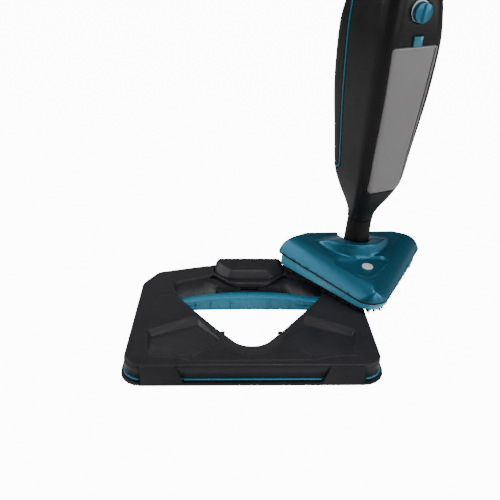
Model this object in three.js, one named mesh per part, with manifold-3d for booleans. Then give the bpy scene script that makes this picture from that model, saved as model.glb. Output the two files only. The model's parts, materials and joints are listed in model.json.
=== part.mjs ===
// A steam mop standing on its floor frame, as separate named pieces.
// Millimetres, +Z up. X runs across the floor frame and -Y is its front.
// The origin lies on the floor, under the middle of the frame's front rail.
import * as THREE from 'three';
import { mergeVertices } from 'three/addons/utils/BufferGeometryUtils.js';
import { ConvexGeometry } from 'three/addons/geometries/ConvexGeometry.js';
import Module from 'manifold-3d';

const wasm = await Module();
wasm.setup();

// ---- driving dimensions ----
const GAP = 0.3; // clearance between touching pieces
const ARC_STEPS = 5; // segments in a rounded corner

const RAIL_INSET = 20; // the origin's distance behind the frame's front edge
const FRAME_HALF_FRONT = 228;
const FRAME_HALF_REAR = 208;
const FRAME_DEPTH = 321;
const FRAME_TOP = 39;
const RING_TOP = 4;
const TRAY_BOTTOM = 9;
const TRAY_TOP = 11;
const SKIRT_INSET = 5;
const SHELL_WALL = 3;
const PEDAL_TOP = 58;

const HEAD_PLACE = [196.5, 315, 76];
const HEAD_YAW = THREE.MathUtils.degToRad(9);
const HEAD_ROLL = THREE.MathUtils.degToRad(4);
const HEAD_HALF_WIDTH = 147;
const HEAD_LENGTH = 198; // from the wings to the point where the side lines meet
const HEAD_TIP_RADIUS = 38;
const SOLE_BOTTOM = -35.5;
const BRUSH_TOP = -28;
const CROWN_TOP = 46;

const PIVOT_Y = -24; // the neck's hinge, in the head's own frame
const PIVOT_Z = 12;
const NECK_RADIUS = 24;
const NECK_DRUM_RADIUS = 19;
const NECK_TOP = 75; // above the hinge

const BODY_YAW = THREE.MathUtils.degToRad(17); // the body's turn on the neck
const BODY_WALL = 2.5;
const BODY_TOP = 520;
const TANK_HALF_WIDTH = 47;
const TANK_BOTTOM = 77;
const TANK_TOP = 352;
const TANK_BACK = -20;
const TANK_WALL = 2;
const TUBE_RADIUS = 14;
const TUBE_TOP = 872;

// ---- materials ----
const paint = (color, roughness, metalness = 0) =>
  new THREE.MeshStandardMaterial({ color, roughness, metalness });
const frameBlack = () => paint(0x242427, 0.5);
const teal = () => paint(0x2e8fb4, 0.35);
const pearlTeal = () => paint(0x1d6f8c, 0.3, 0.35);
const bodyBlack = () => paint(0x1f1f21, 0.35);
const tankGrey = () => paint(0x827e83, 0.25);
const steel = () => paint(0xb8bcc0, 0.3, 0.9);
const rubber = () => paint(0x151515, 0.85);
const silver = () => paint(0xd5d9dc, 0.3, 0.6);
const brass = () => paint(0xb08d45, 0.35, 0.9);
const board = () => paint(0x1f6b3a, 0.6);

// ---- solids ----
function solid(geometry) {
  const bare = geometry.index ? geometry.toNonIndexed() : geometry.clone();
  bare.deleteAttribute('normal');
  bare.deleteAttribute('uv');
  const merged = mergeVertices(bare, 1e-3);
  return new wasm.Manifold(new wasm.Mesh({
    numProp: 3,
    vertProperties: new Float32Array(merged.attributes.position.array),
    triVerts: new Uint32Array(merged.index.array),
  }));
}

function surface(manifold) {
  const mesh = manifold.getMesh();
  const geometry = new THREE.BufferGeometry();
  geometry.setAttribute('position', new THREE.BufferAttribute(mesh.vertProperties, 3));
  geometry.setIndex(new THREE.BufferAttribute(mesh.triVerts, 1));
  return geometry;
}

const join = (...parts) => surface(parts.map(solid).reduce((sum, part) => sum.add(part)));
const cut = (base, ...tools) =>
  surface(tools.map(solid).reduce((sum, tool) => sum.subtract(tool), solid(base)));
const common = (first, second) => surface(solid(first).intersect(solid(second)));

function box(x0, x1, y0, y1, z0, z1) {
  const geometry = new THREE.BoxGeometry(x1 - x0, y1 - y0, z1 - z0);
  return geometry.translate((x0 + x1) / 2, (y0 + y1) / 2, (z0 + z1) / 2);
}

// A cylinder or cone along Z, standing on z0.
function rod(x, y, z0, z1, radius, sides = 20, topRadius = radius) {
  const geometry = new THREE.CylinderGeometry(topRadius, radius, z1 - z0, sides);
  return geometry.rotateX(Math.PI / 2).translate(x, y, (z0 + z1) / 2);
}

// A cylinder along X.
function crossRod(x0, x1, y, z, radius, sides = 20) {
  const geometry = new THREE.CylinderGeometry(radius, radius, x1 - x0, sides);
  return geometry.rotateZ(Math.PI / 2).translate((x0 + x1) / 2, y, z);
}

// A cylinder along Y.
function depthRod(x, y0, y1, z, radius, sides = 20) {
  return new THREE.CylinderGeometry(radius, radius, y1 - y0, sides).translate(x, (y0 + y1) / 2, z);
}

// A round tube along a smooth curve through the points.
function tubeAlong(points, radius, steps = 24, sides = 8) {
  const section = new THREE.Shape().absarc(0, 0, radius, 0, Math.PI * 2);
  const path = new THREE.CatmullRomCurve3(points.map((p) => new THREE.Vector3(...p)));
  return new THREE.ExtrudeGeometry(section, {
    steps, extrudePath: path, curveSegments: sides / 2, bevelEnabled: false,
  });
}

// ---- outlines: lists of [x, y], anticlockwise ----
// Moves each side of a polygon inwards; side i runs from point i to point i + 1.
function inset(points, distance) {
  const distances = Array.isArray(distance) ? distance : points.map(() => distance);
  const count = points.length;
  const lines = points.map((p, i) => {
    const q = points[(i + 1) % count];
    const length = Math.hypot(q[0] - p[0], q[1] - p[1]);
    const direction = [(q[0] - p[0]) / length, (q[1] - p[1]) / length];
    return { p: [p[0] - direction[1] * distances[i], p[1] + direction[0] * distances[i]], direction };
  });
  return lines.map((line, i) => {
    const before = lines[(i + count - 1) % count];
    const [a, b] = [before.direction, line.direction];
    const cross = a[0] * b[1] - a[1] * b[0];
    const gap = [line.p[0] - before.p[0], line.p[1] - before.p[1]];
    const along = (gap[0] * b[1] - gap[1] * b[0]) / cross;
    return [before.p[0] + a[0] * along, before.p[1] + a[1] * along];
  });
}

// Rounds every corner of a polygon with an arc of its own radius.
function rounded(points, radii, steps = ARC_STEPS) {
  const count = points.length;
  return points.flatMap((corner, i) => {
    const here = new THREE.Vector2(...corner);
    const before = new THREE.Vector2(...points[(i + count - 1) % count]).sub(here).normalize();
    const after = new THREE.Vector2(...points[(i + 1) % count]).sub(here).normalize();
    const halfAngle = Math.acos(THREE.MathUtils.clamp(before.dot(after), -1, 1)) / 2;
    const radius = Array.isArray(radii) ? radii[i] : radii;
    const middle = before.clone().add(after).normalize();
    const centre = here.clone().addScaledVector(middle, radius / Math.sin(halfAngle));
    const reach = radius / Math.tan(halfAngle);
    const start = here.clone().addScaledVector(before, reach).sub(centre);
    const end = here.clone().addScaledVector(after, reach).sub(centre);
    let sweep = end.angle() - start.angle();
    if (sweep > Math.PI) sweep -= 2 * Math.PI;
    if (sweep < -Math.PI) sweep += 2 * Math.PI;
    return Array.from({ length: steps + 1 }, (_, k) => {
      const turned = start.clone().rotateAround(new THREE.Vector2(), (sweep * k) / steps);
      return [centre.x + turned.x, centre.y + turned.y];
    });
  });
}

// Skins a stack of rings, each a list of [x, y, z], bottom first, and closes both ends.
function loft(rings) {
  const count = rings[0].length;
  const positions = rings.flat(2);
  const index = [];
  for (let r = 0; r < rings.length - 1; r++) {
    for (let i = 0; i < count; i++) {
      const [a, b] = [r * count + i, r * count + ((i + 1) % count)];
      index.push(a, b, b + count, a, b + count, a + count);
    }
  }
  const cap = (ring, offset, flip) => {
    const flat = ring.map(([x, y]) => new THREE.Vector2(x, y));
    for (const [a, b, c] of THREE.ShapeUtils.triangulateShape(flat, [])) {
      index.push(offset + a, offset + (flip ? c : b), offset + (flip ? b : c));
    }
  };
  cap(rings[0], 0, true);
  cap(rings.at(-1), (rings.length - 1) * count, false);
  const geometry = new THREE.BufferGeometry();
  geometry.setAttribute('position', new THREE.Float32BufferAttribute(positions, 3));
  geometry.setIndex(index);
  return geometry;
}

const atHeight = (ring, z) => ring.map(([x, y]) => [x, y, typeof z === 'function' ? z(x, y) : z]);
const plate = (ring, z0, z1) => loft([atHeight(ring, z0), atHeight(ring, z1)]);
const mirrored = (points) => points.map(([x, ...rest]) => [-x, ...rest]);

function makePiece(group, name, geometry, material) {
  geometry.computeVertexNormals();
  const mesh = new THREE.Mesh(geometry, material);
  mesh.name = name;
  group.add(mesh);
  return mesh;
}

// =====================================================================
// Floor frame. Its own frame has y = 0 at the front edge.
// =====================================================================
const FRAME_OUTLINE = [
  [-FRAME_HALF_FRONT, 0], [FRAME_HALF_FRONT, 0], [FRAME_HALF_REAR, 257], [178, 298],
  [84, FRAME_DEPTH], [-84, FRAME_DEPTH], [-178, 298], [-FRAME_HALF_REAR, 257],
];
const FRAME_RADII = [36, 36, 22, 22, 12, 12, 22, 22];
const HOLE_SIDES = [
  [0, 38], [131, 214], [146, 258], [106, 285], [66, 285], [38, 252],
  [-38, 252], [-66, 285], [-106, 285], [-146, 258], [-131, 214],
];
const HOLE_RADII = [38, 60, 12, 16, 12, 16, 16, 12, 16, 12, 60];
const BLOCK_INNER = 128;
const BLOCK_OUTER = 190;
const BLOCK_BACK = 6.4;
const LATCH_HALF_WIDTH = 16;
const LATCH_Z = [25.5, 32.5];
const LATCH_BACK_Y = 284;

const frameRing = (distance) =>
  rounded(inset(FRAME_OUTLINE, distance), FRAME_RADII.map((r) => Math.max(r - distance * 0.6, 1)));
const holeRing = (distance) =>
  rounded(inset(HOLE_SIDES, distance), HOLE_RADII.map((r) => Math.max(r - distance, 4)));

function frontBlock(side) {
  const face = [
    [BLOCK_INNER - 10, RING_TOP - 1, 0.2], [BLOCK_OUTER, RING_TOP - 1, 0.2],
    [BLOCK_OUTER, FRAME_TOP - 1, 3], [BLOCK_INNER + 4, FRAME_TOP - 1, 3],
  ];
  const corners = face.flatMap(([x, z, y]) => [[side * x, y, z], [side * x, BLOCK_BACK, z]]);
  return new ConvexGeometry(corners.map((p) => new THREE.Vector3(...p)));
}

function frameBaseRing() {
  const base = plate(frameRing(0), 0, RING_TOP);
  const opening = rounded(inset(HOLE_SIDES, [-14, -14, -14, -14, -4, -4, -4, -14, -14, -14, -14]),
    [30, 12, 12, 12, 12, 12, 12, 12, 12, 12, 12]);
  const weight = rounded([[-190, 26], [-60, 26], [-150, 150], [-190, 200]], 10);
  return join(
    cut(base, plate(opening, -1, RING_TOP + 1), plate(weight, -1, RING_TOP + 1),
      plate(mirrored(weight).reverse(), -1, RING_TOP + 1)),
    frontBlock(1), frontBlock(-1),
  );
}

// Turns a plate's X, Y and height to Y, Z and X.
const sideways = new THREE.Matrix4().set(0, 0, 1, 0, 1, 0, 0, 0, 0, 1, 0, 0, 0, 0, 0, 1);

// The curve that the rear lip and the wall behind it follow.
const lipCurve = (x) => -16 * Math.min(Math.abs(x) / 117, 1) ** 2;

// A section in Y and Z carried across the frame along the lip's curve.
function acrossFrame(halfWidth, section, steps = 12) {
  const rings = Array.from({ length: steps + 1 }, (_, k) => {
    const x = -halfWidth + (2 * halfWidth * k) / steps;
    return section(x).map(([y, z]) => [y + lipCurve(x), z, x]);
  });
  return loft(rings).applyMatrix4(sideways);
}

const [LIP_FOOT_Y, LIP_FACE_Y, LIP_BACK_Y] = [219, 228.5, 246];
const LIP_TOP = 22;
const LIP_WALL = 3;

function dockLip() {
  const lip = acrossFrame(116, (x) => {
    const foot = LIP_FOOT_Y - lipCurve(x) * 0.85;
    return [
      [LIP_FACE_Y, LIP_TOP], [foot, 0.4], [foot + LIP_WALL, 0.4],
      [LIP_FACE_Y + LIP_WALL, LIP_TOP - LIP_WALL], [LIP_BACK_Y, LIP_TOP - LIP_WALL], [LIP_BACK_Y, LIP_TOP],
    ];
  });
  const ribs = [-72, -35, 35, 72].map((x) => new ConvexGeometry([x, x + 1.6].flatMap((side) => [
    [side, LIP_FACE_Y + 0.5 + lipCurve(x), 19.5], [side, LIP_FOOT_Y + 2, 2],
    [side, LIP_FOOT_Y - 2.5, 2], [side, LIP_FACE_Y - 4.5 + lipCurve(x), 19.5],
  ]).map((p) => new THREE.Vector3(...p))));
  return join(lip, ...ribs);
}

function frameTray() {
  const top = plate(frameRing(SKIRT_INSET - 1), TRAY_BOTTOM, TRAY_TOP);
  const rim = cut(plate(frameRing(18), RING_TOP + GAP, TRAY_BOTTOM + 1), plate(frameRing(21), 0, TRAY_TOP));
  const xs = Array.from({ length: 9 }, (_, k) => -150 + (300 * k) / 8);
  const edge = xs.map((x) => [x, LIP_FACE_Y - 1.5 + lipCurve(x)]);
  const behindLip = plate([...edge, [160, 310], [-160, 310]], -2, TRAY_TOP + 2);
  const opening = cut(plate(rounded(inset(HOLE_SIDES, -6), 12), -1, TRAY_TOP + 1), behindLip);
  const blockRoom = [-1, 1].map((side) => box(side * 154 - 38, side * 154 + 38, -2, 7, 0, 50));
  return join(cut(join(top, rim), opening, ...blockRoom), dockLip());
}

const POCKET = {
  top: [[-184, 106], [-97, 152], [-50, 80], [-100, 31], [-178, 36]],
  floor: [[-177, 95, 30], [-95, 128, 30], [-57, 80, 34.5], [-101, 34, 38], [-175, 38, 38]],
};

function pocket(side, grow = 0) {
  const rim = POCKET.top.map(([x, y]) => [x, y, FRAME_TOP + 0.4]);
  const spread = grow ? [[-grow, -grow], [grow, -grow], [grow, grow], [-grow, grow]] : [[0, 0]];
  const corners = [...rim, ...POCKET.floor].flatMap(([x, y, z]) =>
    spread.map(([dx, dy]) => [x + dx, y + dy, z - grow]));
  return new ConvexGeometry(corners.map(([x, y, z]) => new THREE.Vector3(side * x, y, z)));
}

const PEDAL_SIDES = [[-36, 268], [36, 268], [66, 291], [66, 310], [-66, 310], [-66, 291]];
const PEDAL_RADII = [22, 22, 12, 9, 9, 12];
const pedalRing = (distance) =>
  rounded(inset(PEDAL_SIDES, distance), PEDAL_RADII.map((r) => Math.max(r - distance, 2)));
const PEDAL_PIN = { y: 275, z: 36.5, radius: 2 };
const EAR_X = 29;

function frameTopShell() {
  const skin = loft([
    atHeight(frameRing(SKIRT_INSET), TRAY_TOP + GAP), atHeight(frameRing(SKIRT_INSET + 0.8), FRAME_TOP - 5),
    atHeight(frameRing(SKIRT_INSET + 2.2), FRAME_TOP - 1.5),
    atHeight(frameRing(SKIRT_INSET + 5), FRAME_TOP),
  ]);
  const step = loft([
    atHeight(pedalRing(-15), FRAME_TOP - 2), atHeight(pedalRing(-12), FRAME_TOP + 2),
    atHeight(pedalRing(-6), FRAME_TOP + 8),
  ]);
  const stepRoom = common(step, plate(inset(FRAME_OUTLINE, SKIRT_INSET + 1), 0, 90));
  const hollow = plate(frameRing(SKIRT_INSET + SHELL_WALL + 0.5), TRAY_TOP - 1, FRAME_TOP - SHELL_WALL);
  const holeWall = common(loft([
    atHeight(holeRing(-SHELL_WALL), 0), atHeight(holeRing(-SHELL_WALL), 25),
    atHeight(holeRing(-16), 30), atHeight(holeRing(-16), FRAME_TOP),
  ]), box(-200, 200, 0, 228, 0, 60));
  const cavity = cut(hollow, holeWall, pocket(1, 3), pocket(-1, 3));
  const bevelReach = [-12, -3, -1, -1, -1, -1, -1, -1, -1, -3, -12];
  const bevelTop = rounded(inset(HOLE_SIDES, bevelReach), HOLE_RADII.map((r, i) => r - bevelReach[i]));
  const bevelRoom = loft([atHeight(holeRing(0), 30), atHeight(bevelTop, FRAME_TOP + 0.6)]);
  const backRoom = cut(plate(holeRing(-4), TRAY_TOP, 33), box(-160, 160, 0, 236, 0, 60));
  const blockRoom = [-1, 1].map((side) => box(side * 154 - 37.5, side * 154 + 37.5, -2, 6.8, 0, 50));
  const clips = [-1, 1].map((side) => box(side * 49 - 4, side * 49 + 4, 107, 111, 24, 29));
  const ears = [-1, 1].map((side) => box(side * EAR_X - 1.5, side * EAR_X + 1.5, 256, 279, 33, 38));
  const shell = cut(join(skin, stepRoom), cavity, plate(holeRing(0), 0, 80), bevelRoom, backRoom,
    pocket(1), pocket(-1), ...blockRoom, plate(pedalRing(-1.2), 20, 80), box(-17, 17, 240, 292, 24, 33));
  return cut(join(shell, ...clips, ...ears),
    crossRod(-EAR_X - 5, EAR_X + 5, PEDAL_PIN.y, PEDAL_PIN.z, PEDAL_PIN.radius + GAP / 2, 12));
}

function releasePedal() {
  const skin = loft([
    atHeight(pedalRing(0), 33), atHeight(pedalRing(1.5), PEDAL_TOP - 8),
    atHeight(pedalRing(2.6), PEDAL_TOP - 2), atHeight(pedalRing(6), PEDAL_TOP),
  ]);
  const hollow = loft([atHeight(pedalRing(2.5), 30), atHeight(pedalRing(4.5), PEDAL_TOP - 5)]);
  const cheeks = [-1, 1].map((side) => box(side * 22 - 1.5, side * 22 + 1.5, 269, 284, 33, PEDAL_TOP - 4));
  const earRoom = [-1, 1].map((side) => box(side * EAR_X - 2.2, side * EAR_X + 2.2, 262, 281, 30, 40));
  return cut(join(cut(skin, hollow), ...cheeks), ...earRoom,
    crossRod(-EAR_X, EAR_X, PEDAL_PIN.y, PEDAL_PIN.z, PEDAL_PIN.radius + GAP / 2, 12));
}

// The wall at the back of the opening, with the slot that the latch looks out of.
function frameRearWall() {
  const lean = (x) => 20 * THREE.MathUtils.smoothstep(Math.abs(x), 50, 84);
  const wall = acrossFrame(147, (x) => {
    const top = lean(x) - lipCurve(x) * 0.6;
    const back = 291 - lipCurve(x);
    return [
      [246.5, TRAY_TOP + GAP], [249.5, TRAY_TOP + GAP], [249.5, 22], [251 + top, 30.4], [back, 30.4],
      [back, 32.6], [248 + top, 32.6], [246.5, 22],
    ];
  }, 24);
  const corner = (side) => box(side * 134 - 16.5, side * 134 + 16.5, 212, 232, TRAY_TOP + GAP, TRAY_TOP + 2);
  const cheek = (side) => common(corner(side), plate(holeRing(0.4), 0, 50));
  const [low, high] = LATCH_Z;
  const slot = box(-LATCH_HALF_WIDTH - 0.6, LATCH_HALF_WIDTH + 0.6, 236, 255, low - 0.5, high);
  const latchRoom = box(-17.5, 17.5, 250.2, 300, 20, 40);
  const pedalRoom = box(-68, 68, PEDAL_PIN.y + 3, 320, 29, 36);
  return cut(join(wall, cheek(1), cheek(-1)), slot, latchRoom, pedalRoom);
}

function frameLatch() {
  const [low, high] = [LATCH_Z[0], LATCH_Z[1] - 1.2];
  const bar = box(-LATCH_HALF_WIDTH, LATCH_HALF_WIDTH, 250, LATCH_BACK_Y, low, high);
  const slope = box(-20, 20, -8, 0, 0, 12).rotateX(-0.6).translate(0, 250, high - 3);
  return cut(bar, slope, box(-5, 5, LATCH_BACK_Y - 12, LATCH_BACK_Y + 6, low + 1, high + 2));
}

function spiral(radius, wire, turns, length, stepsPerTurn = 10) {
  class Helix extends THREE.Curve {
    getPoint(t, target = new THREE.Vector3()) {
      const angle = t * turns * 2 * Math.PI;
      return target.set(radius * Math.cos(angle), radius * Math.sin(angle), t * length);
    }
  }
  const section = new THREE.Shape().absarc(0, 0, wire, 0, Math.PI * 2);
  return new THREE.ExtrudeGeometry(section, {
    steps: turns * stepsPerTurn, extrudePath: new Helix(), curveSegments: 3, bevelEnabled: false,
  });
}

function latchSpring() {
  return spiral(3, 0.5, 5, 24).rotateX(-Math.PI / 2).translate(0, LATCH_BACK_Y + 1, 26.4);
}

function buildFloorFrame() {
  const group = new THREE.Group();
  group.position.y = -RAIL_INSET;
  makePiece(group, 'frame_base_ring', frameBaseRing(), frameBlack());
  makePiece(group, 'frame_tray', frameTray(), teal());
  makePiece(group, 'frame_top_shell', frameTopShell(), frameBlack());
  makePiece(group, 'frame_rear_wall', frameRearWall(), frameBlack());
  makePiece(group, 'release_pedal', releasePedal(), frameBlack());
  makePiece(group, 'pedal_pin',
    crossRod(-EAR_X - 2, EAR_X + 2, PEDAL_PIN.y, PEDAL_PIN.z, PEDAL_PIN.radius, 12), steel());
  makePiece(group, 'frame_latch', frameLatch(), frameBlack());
  makePiece(group, 'latch_spring', latchSpring(), steel());
  return group;
}

// =====================================================================
// Mop head. Its own frame has y = 0 at the wings, -Y at the tip, z = 0 at the cover's rim.
// =====================================================================
const HEAD_OUTLINE = [
  [0, -HEAD_LENGTH], [HEAD_HALF_WIDTH, 5], [88, 29], [-88, 29], [-HEAD_HALF_WIDTH, 5],
];
const HEAD_RADII = [HEAD_TIP_RADIUS, 11, 20, 20, 11];

function headRing(side, rear = side) {
  const moved = inset(HEAD_OUTLINE, [side, rear, rear, rear, side]);
  return rounded(moved, HEAD_RADII.map((r) => Math.max(r - side * 0.5, 6)), 6);
}

// Heights that rise from the tip to the back of the head.
const rise = (tip, back) => (x, y) => THREE.MathUtils.mapLinear(y, -167, 29, tip, back);
const [RIM_TIP, RIM_BACK] = [-10, 2];

function coverLoft(thin) {
  const ring = (side, rear, tip, back) =>
    atHeight(headRing(side + thin, rear + thin), rise(tip - thin, back - thin));
  const hem = thin ? 8 : 3;
  return loft([
    ring(0, 0, RIM_TIP - hem + thin, RIM_BACK - hem + thin), ring(0, 0, RIM_TIP, RIM_BACK),
    ring(3, 2, RIM_TIP + 4, RIM_BACK + 6), ring(12, 4, RIM_TIP + 12, RIM_BACK + 17),
    ring(24, 9, RIM_TIP + 19, RIM_BACK + 26), ring(38, 15, RIM_TIP + 23, RIM_BACK + 29),
  ]);
}

const hood = (thin) => rod(0, PIVOT_Y, 4, CROWN_TOP - thin, 66 - thin, 32, 33 - thin);

// The sunken panel between the hood and the tip; grow makes it larger all round.
const DISH_SIDES = [[0, -160], [70, -62], [-70, -62]];
const DISH_DEPTH = 3.5;
function dish(grow) {
  const ring = (distance) => rounded(inset(DISH_SIDES, distance - grow), [18, 12, 12], 6);
  const [tip, back] = [RIM_TIP + 23 - grow, RIM_BACK + 29 - grow];
  return loft([
    atHeight(ring(9), rise(tip - DISH_DEPTH, back - DISH_DEPTH)),
    atHeight(ring(0), rise(tip + 0.6, back + 0.6)),
    atHeight(ring(0), rise(tip + 30, back + 30)),
  ]);
}

const BADGE_X = 6;
const BADGE_Y = -90;
const BADGE_Z = 15.4;
const COVER_WALL = 2.5;

function headCover() {
  const skin = join(cut(coverLoft(0), dish(0)), common(hood(0), plate(headRing(14, 6), 0, 60)));
  const neckRoom = join(
    rod(0, PIVOT_Y, -20, 60, NECK_RADIUS + 2.2, 28),
    box(-NECK_RADIUS - 2.2, NECK_RADIUS + 2.2, PIVOT_Y, 60, -20, 60),
    crossRod(-NECK_RADIUS - 2.2, NECK_RADIUS + 2.2, PIVOT_Y, PIVOT_Z, NECK_DRUM_RADIUS + 1.6, 28),
  );
  const hollow = cut(coverLoft(COVER_WALL), dish(COVER_WALL));
  return cut(skin, hollow, neckRoom, rod(BADGE_X, BADGE_Y, BADGE_Z, 60, 10.8, 24));
}

function headSkirt() {
  const top = rise(RIM_TIP - 3 - GAP, RIM_BACK - 3 - GAP);
  const outer = loft([atHeight(headRing(4.5), BRUSH_TOP + GAP), atHeight(headRing(4.5), top)]);
  const neckRoom = box(-NECK_RADIUS - 2.2, NECK_RADIUS + 2.2, 0, 60, -16, 60);
  return cut(outer, plate(headRing(7.5), -50, 20), neckRoom);
}

function brushRing() {
  return cut(plate(headRing(8), SOLE_BOTTOM, BRUSH_TOP), plate(headRing(15), -50, 10));
}

function solePlate() {
  const holes = [-90, -55, -20].flatMap((y) => [-14, 14].map((x) => rod(x, y, -40, 0, 2.5, 8)));
  return cut(plate(headRing(15 + GAP), SOLE_BOTTOM + 3, SOLE_BOTTOM + 6), ...holes);
}

const PIVOT_PIN_RADIUS = 4;

function pivotBracket() {
  const base = box(-38, 38, PIVOT_Y - 20, PIVOT_Y + 20, SOLE_BOTTOM + 6 + GAP, SOLE_BOTTOM + 9);
  const ears = [-31, 31].map((x) =>
    box(x - 3, x + 3, PIVOT_Y - 9, PIVOT_Y + 9, SOLE_BOTTOM + 7, PIVOT_Z + 8));
  return cut(join(base, ...ears), crossRod(-50, 50, PIVOT_Y, PIVOT_Z, PIVOT_PIN_RADIUS + GAP / 2, 16));
}

function steamManifold() {
  const z = SOLE_BOTTOM + 6 + GAP;
  const feed = rod(0, -60, z + 2, z + 15, 4, 12);
  return join(box(-20, 20, -100, -48, z, z + 6), feed);
}

// Hook strips under the sole plate, which hold the cleaning pad.
const hookStrip = (x, y, halfX, halfY) =>
  box(x - halfX, x + halfX, y - halfY, y + halfY, SOLE_BOTTOM + 1, SOLE_BOTTOM + 3 - GAP);

function buildHead() {
  const group = new THREE.Group();
  makePiece(group, 'sole_plate', solePlate(), rubber());
  makePiece(group, 'brush_ring', brushRing(), rubber());
  makePiece(group, 'head_side_wall', headSkirt(), teal());
  makePiece(group, 'head_cover', headCover(), pearlTeal());
  makePiece(group, 'head_badge', rod(BADGE_X, BADGE_Y, BADGE_Z + GAP, BADGE_Z + 2.6, 10.4, 24), silver());
  makePiece(group, 'pivot_bracket', pivotBracket(), frameBlack());
  makePiece(group, 'pivot_pin', crossRod(-36, 36, PIVOT_Y, PIVOT_Z, PIVOT_PIN_RADIUS, 16), steel());
  makePiece(group, 'steam_manifold', steamManifold(), frameBlack());
  makePiece(group, 'hook_strip_left', hookStrip(-72, -12, 30, 8), rubber());
  makePiece(group, 'hook_strip_right', hookStrip(72, -12, 30, 8), rubber());
  makePiece(group, 'hook_strip_front', hookStrip(0, -124, 12, 14), rubber());
  return group;
}

// =====================================================================
// Neck. Its own frame has its origin on the hinge and +Z along the tube.
// =====================================================================
const BUSH_RADIUS = 16.7;
const HOSE_Y = -9;
const HOSE_RADIUS = 2.5;

function swivelBush() {
  const sleeve = rod(0, 0, NECK_TOP - 15, NECK_TOP + 12, BUSH_RADIUS, 24);
  return cut(sleeve, rod(0, 0, NECK_TOP - 20, NECK_TOP + 20, BUSH_RADIUS - 3, 20));
}

function neckTube() {
  const drum = crossRod(-25, 25, 0, 0, NECK_DRUM_RADIUS, 28);
  const tube = rod(0, 0, 6, NECK_TOP - GAP, NECK_RADIUS, 32, NECK_RADIUS - 1.5);
  const bore = rod(0, 0, NECK_DRUM_RADIUS + 2, NECK_TOP + 5, BUSH_RADIUS + GAP, 24);
  const pinRoom = crossRod(-40, 40, 0, 0, PIVOT_PIN_RADIUS + GAP / 2, 16);
  return cut(join(drum, tube), bore, pinRoom, rod(0, HOSE_Y, 0, 30, HOSE_RADIUS + 0.5, 10));
}

function buildNeck() {
  const group = new THREE.Group();
  makePiece(group, 'neck_tube', neckTube(), bodyBlack());
  makePiece(group, 'swivel_bush', swivelBush(), steel());
  const hose = rod(0, HOSE_Y, NECK_DRUM_RADIUS + 3, NECK_TOP - 3, HOSE_RADIUS, 10);
  makePiece(group, 'neck_hose', hose, rubber());
  return group;
}

// =====================================================================
// Body. Its own frame has its origin on the joint above the neck.
// =====================================================================
// Heights of the features on the body, in its own frame.
const DIAL_Z = 408;
const DIAL_RADIUS = 17;
const GLAND_Z = 440;
const POWER_Z = 444;
const POWER_RADIUS = 9;
const LAMP_Z = 474;
const LAMP_RADIUS = 3.5;

// [height, half width, half depth, corner radius, forward shift]
const BODY_STATIONS = [
  [0, 23, 23, 22, 0], [12, 23.6, 24.5, 22, 0], [30, 28, 31, 22, 0], [58, 38, 44, 23, 0],
  [92, 46, 56, 23, 0], [150, 51.5, 62, 24, -2], [277, 61, 74, 25, -5], [350, 63, 76, 26, -5],
  [410, 59, 70, 28, -4],
  [455, 50, 57, 29, -2], [490, 36, 40, 28, 0], [BODY_TOP, 25, 27, 22, 0],
];

function bodySection(height, distance) {
  const above = Math.max(1, BODY_STATIONS.findIndex(([h]) => h >= height));
  const [low, high] = [BODY_STATIONS[above - 1], BODY_STATIONS[above]];
  const share = (height - low[0]) / (high[0] - low[0]);
  const [, width, depth, radius, forward] = low.map((value, i) => value + (high[i] - value) * share);
  const [x, y] = [width - distance, depth - distance];
  const corners = [[-x, -y - forward], [x, -y - forward], [x, y - forward], [-x, y - forward]];
  return atHeight(rounded(corners, radius - distance), height);
}

function bodyLoft(distance, from = 0, to = BODY_TOP) {
  const between = BODY_STATIONS.map(([h]) => h).filter((h) => h > from && h < to);
  return loft([from, ...between, to].map((h) => bodySection(h, distance)));
}

// The zone of the rear panel, seen from the side; grow makes it larger all round.
const REAR_SPLIT = [[24, 96], [120, 96], [120, 466], [44, 466], [34, 330]];
function rearZone(grow) {
  const ring = rounded(inset(REAR_SPLIT, -grow), [12, 4, 4, 20, 60]);
  return plate(ring, -100, 100).applyMatrix4(sideways);
}

function tankZone(grow) {
  const [half, low, high] = [TANK_HALF_WIDTH + grow, TANK_BOTTOM - grow, TANK_TOP + grow];
  const corners = [[-half + 12, low], [half - 12, low], [half, high], [-half, high]];
  const face = plate(rounded(corners, [12, 12, 6, 6]), -(TANK_BACK + grow), 120);
  return face.applyMatrix4(new THREE.Matrix4().set(1, 0, 0, 0, 0, 0, -1, 0, 0, 1, 0, 0, 0, 0, 0, 1));
}

function bodyShell() {
  const cavity = cut(bodyLoft(BODY_WALL, 8, BODY_TOP - 6), tankZone(BODY_WALL));
  const dialRoom = depthRod(0, -120, -40, DIAL_Z, DIAL_RADIUS + 2, 24);
  const buttonRoom = depthRod(0, -120, -40, POWER_Z, POWER_RADIUS + 0.5, 20);
  const bushRoom = rod(0, 0, -5, 20, BUSH_RADIUS + GAP, 24);
  const tubeRoom = rod(0, 0, BODY_TOP - 20, BODY_TOP + 5, TUBE_RADIUS + 0.4, 24);
  const catchRoom = box(-9, 9, -100, TANK_BACK - 3, TANK_TOP + 0.2, TANK_TOP + 18);
  const lampRoom = depthRod(0, -60, -30, LAMP_Z, LAMP_RADIUS + GAP, 16);
  return cut(bodyLoft(0), cavity, tankZone(0.4), rearZone(1.5), bushRoom, tubeRoom,
    dialRoom, buttonRoom, catchRoom, lampRoom);
}

function rearPanel() {
  const shell = cut(bodyLoft(0, 60, 480), bodyLoft(BODY_WALL, 50, 490));
  return cut(common(shell, rearZone(-1.5)), depthRod(0, 50, 90, GLAND_Z, 4.5 + GAP, 16));
}

function rearPiping() {
  const shell = cut(bodyLoft(-0.8, 60, 480), bodyLoft(BODY_WALL - 0.8, 50, 490));
  return cut(common(shell, rearZone(1.2)), rearZone(-1.2));
}

const MOUTH_Y = -48;
const MOUTH_RADIUS = 11;
const VALVE_Y = -40;

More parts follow.
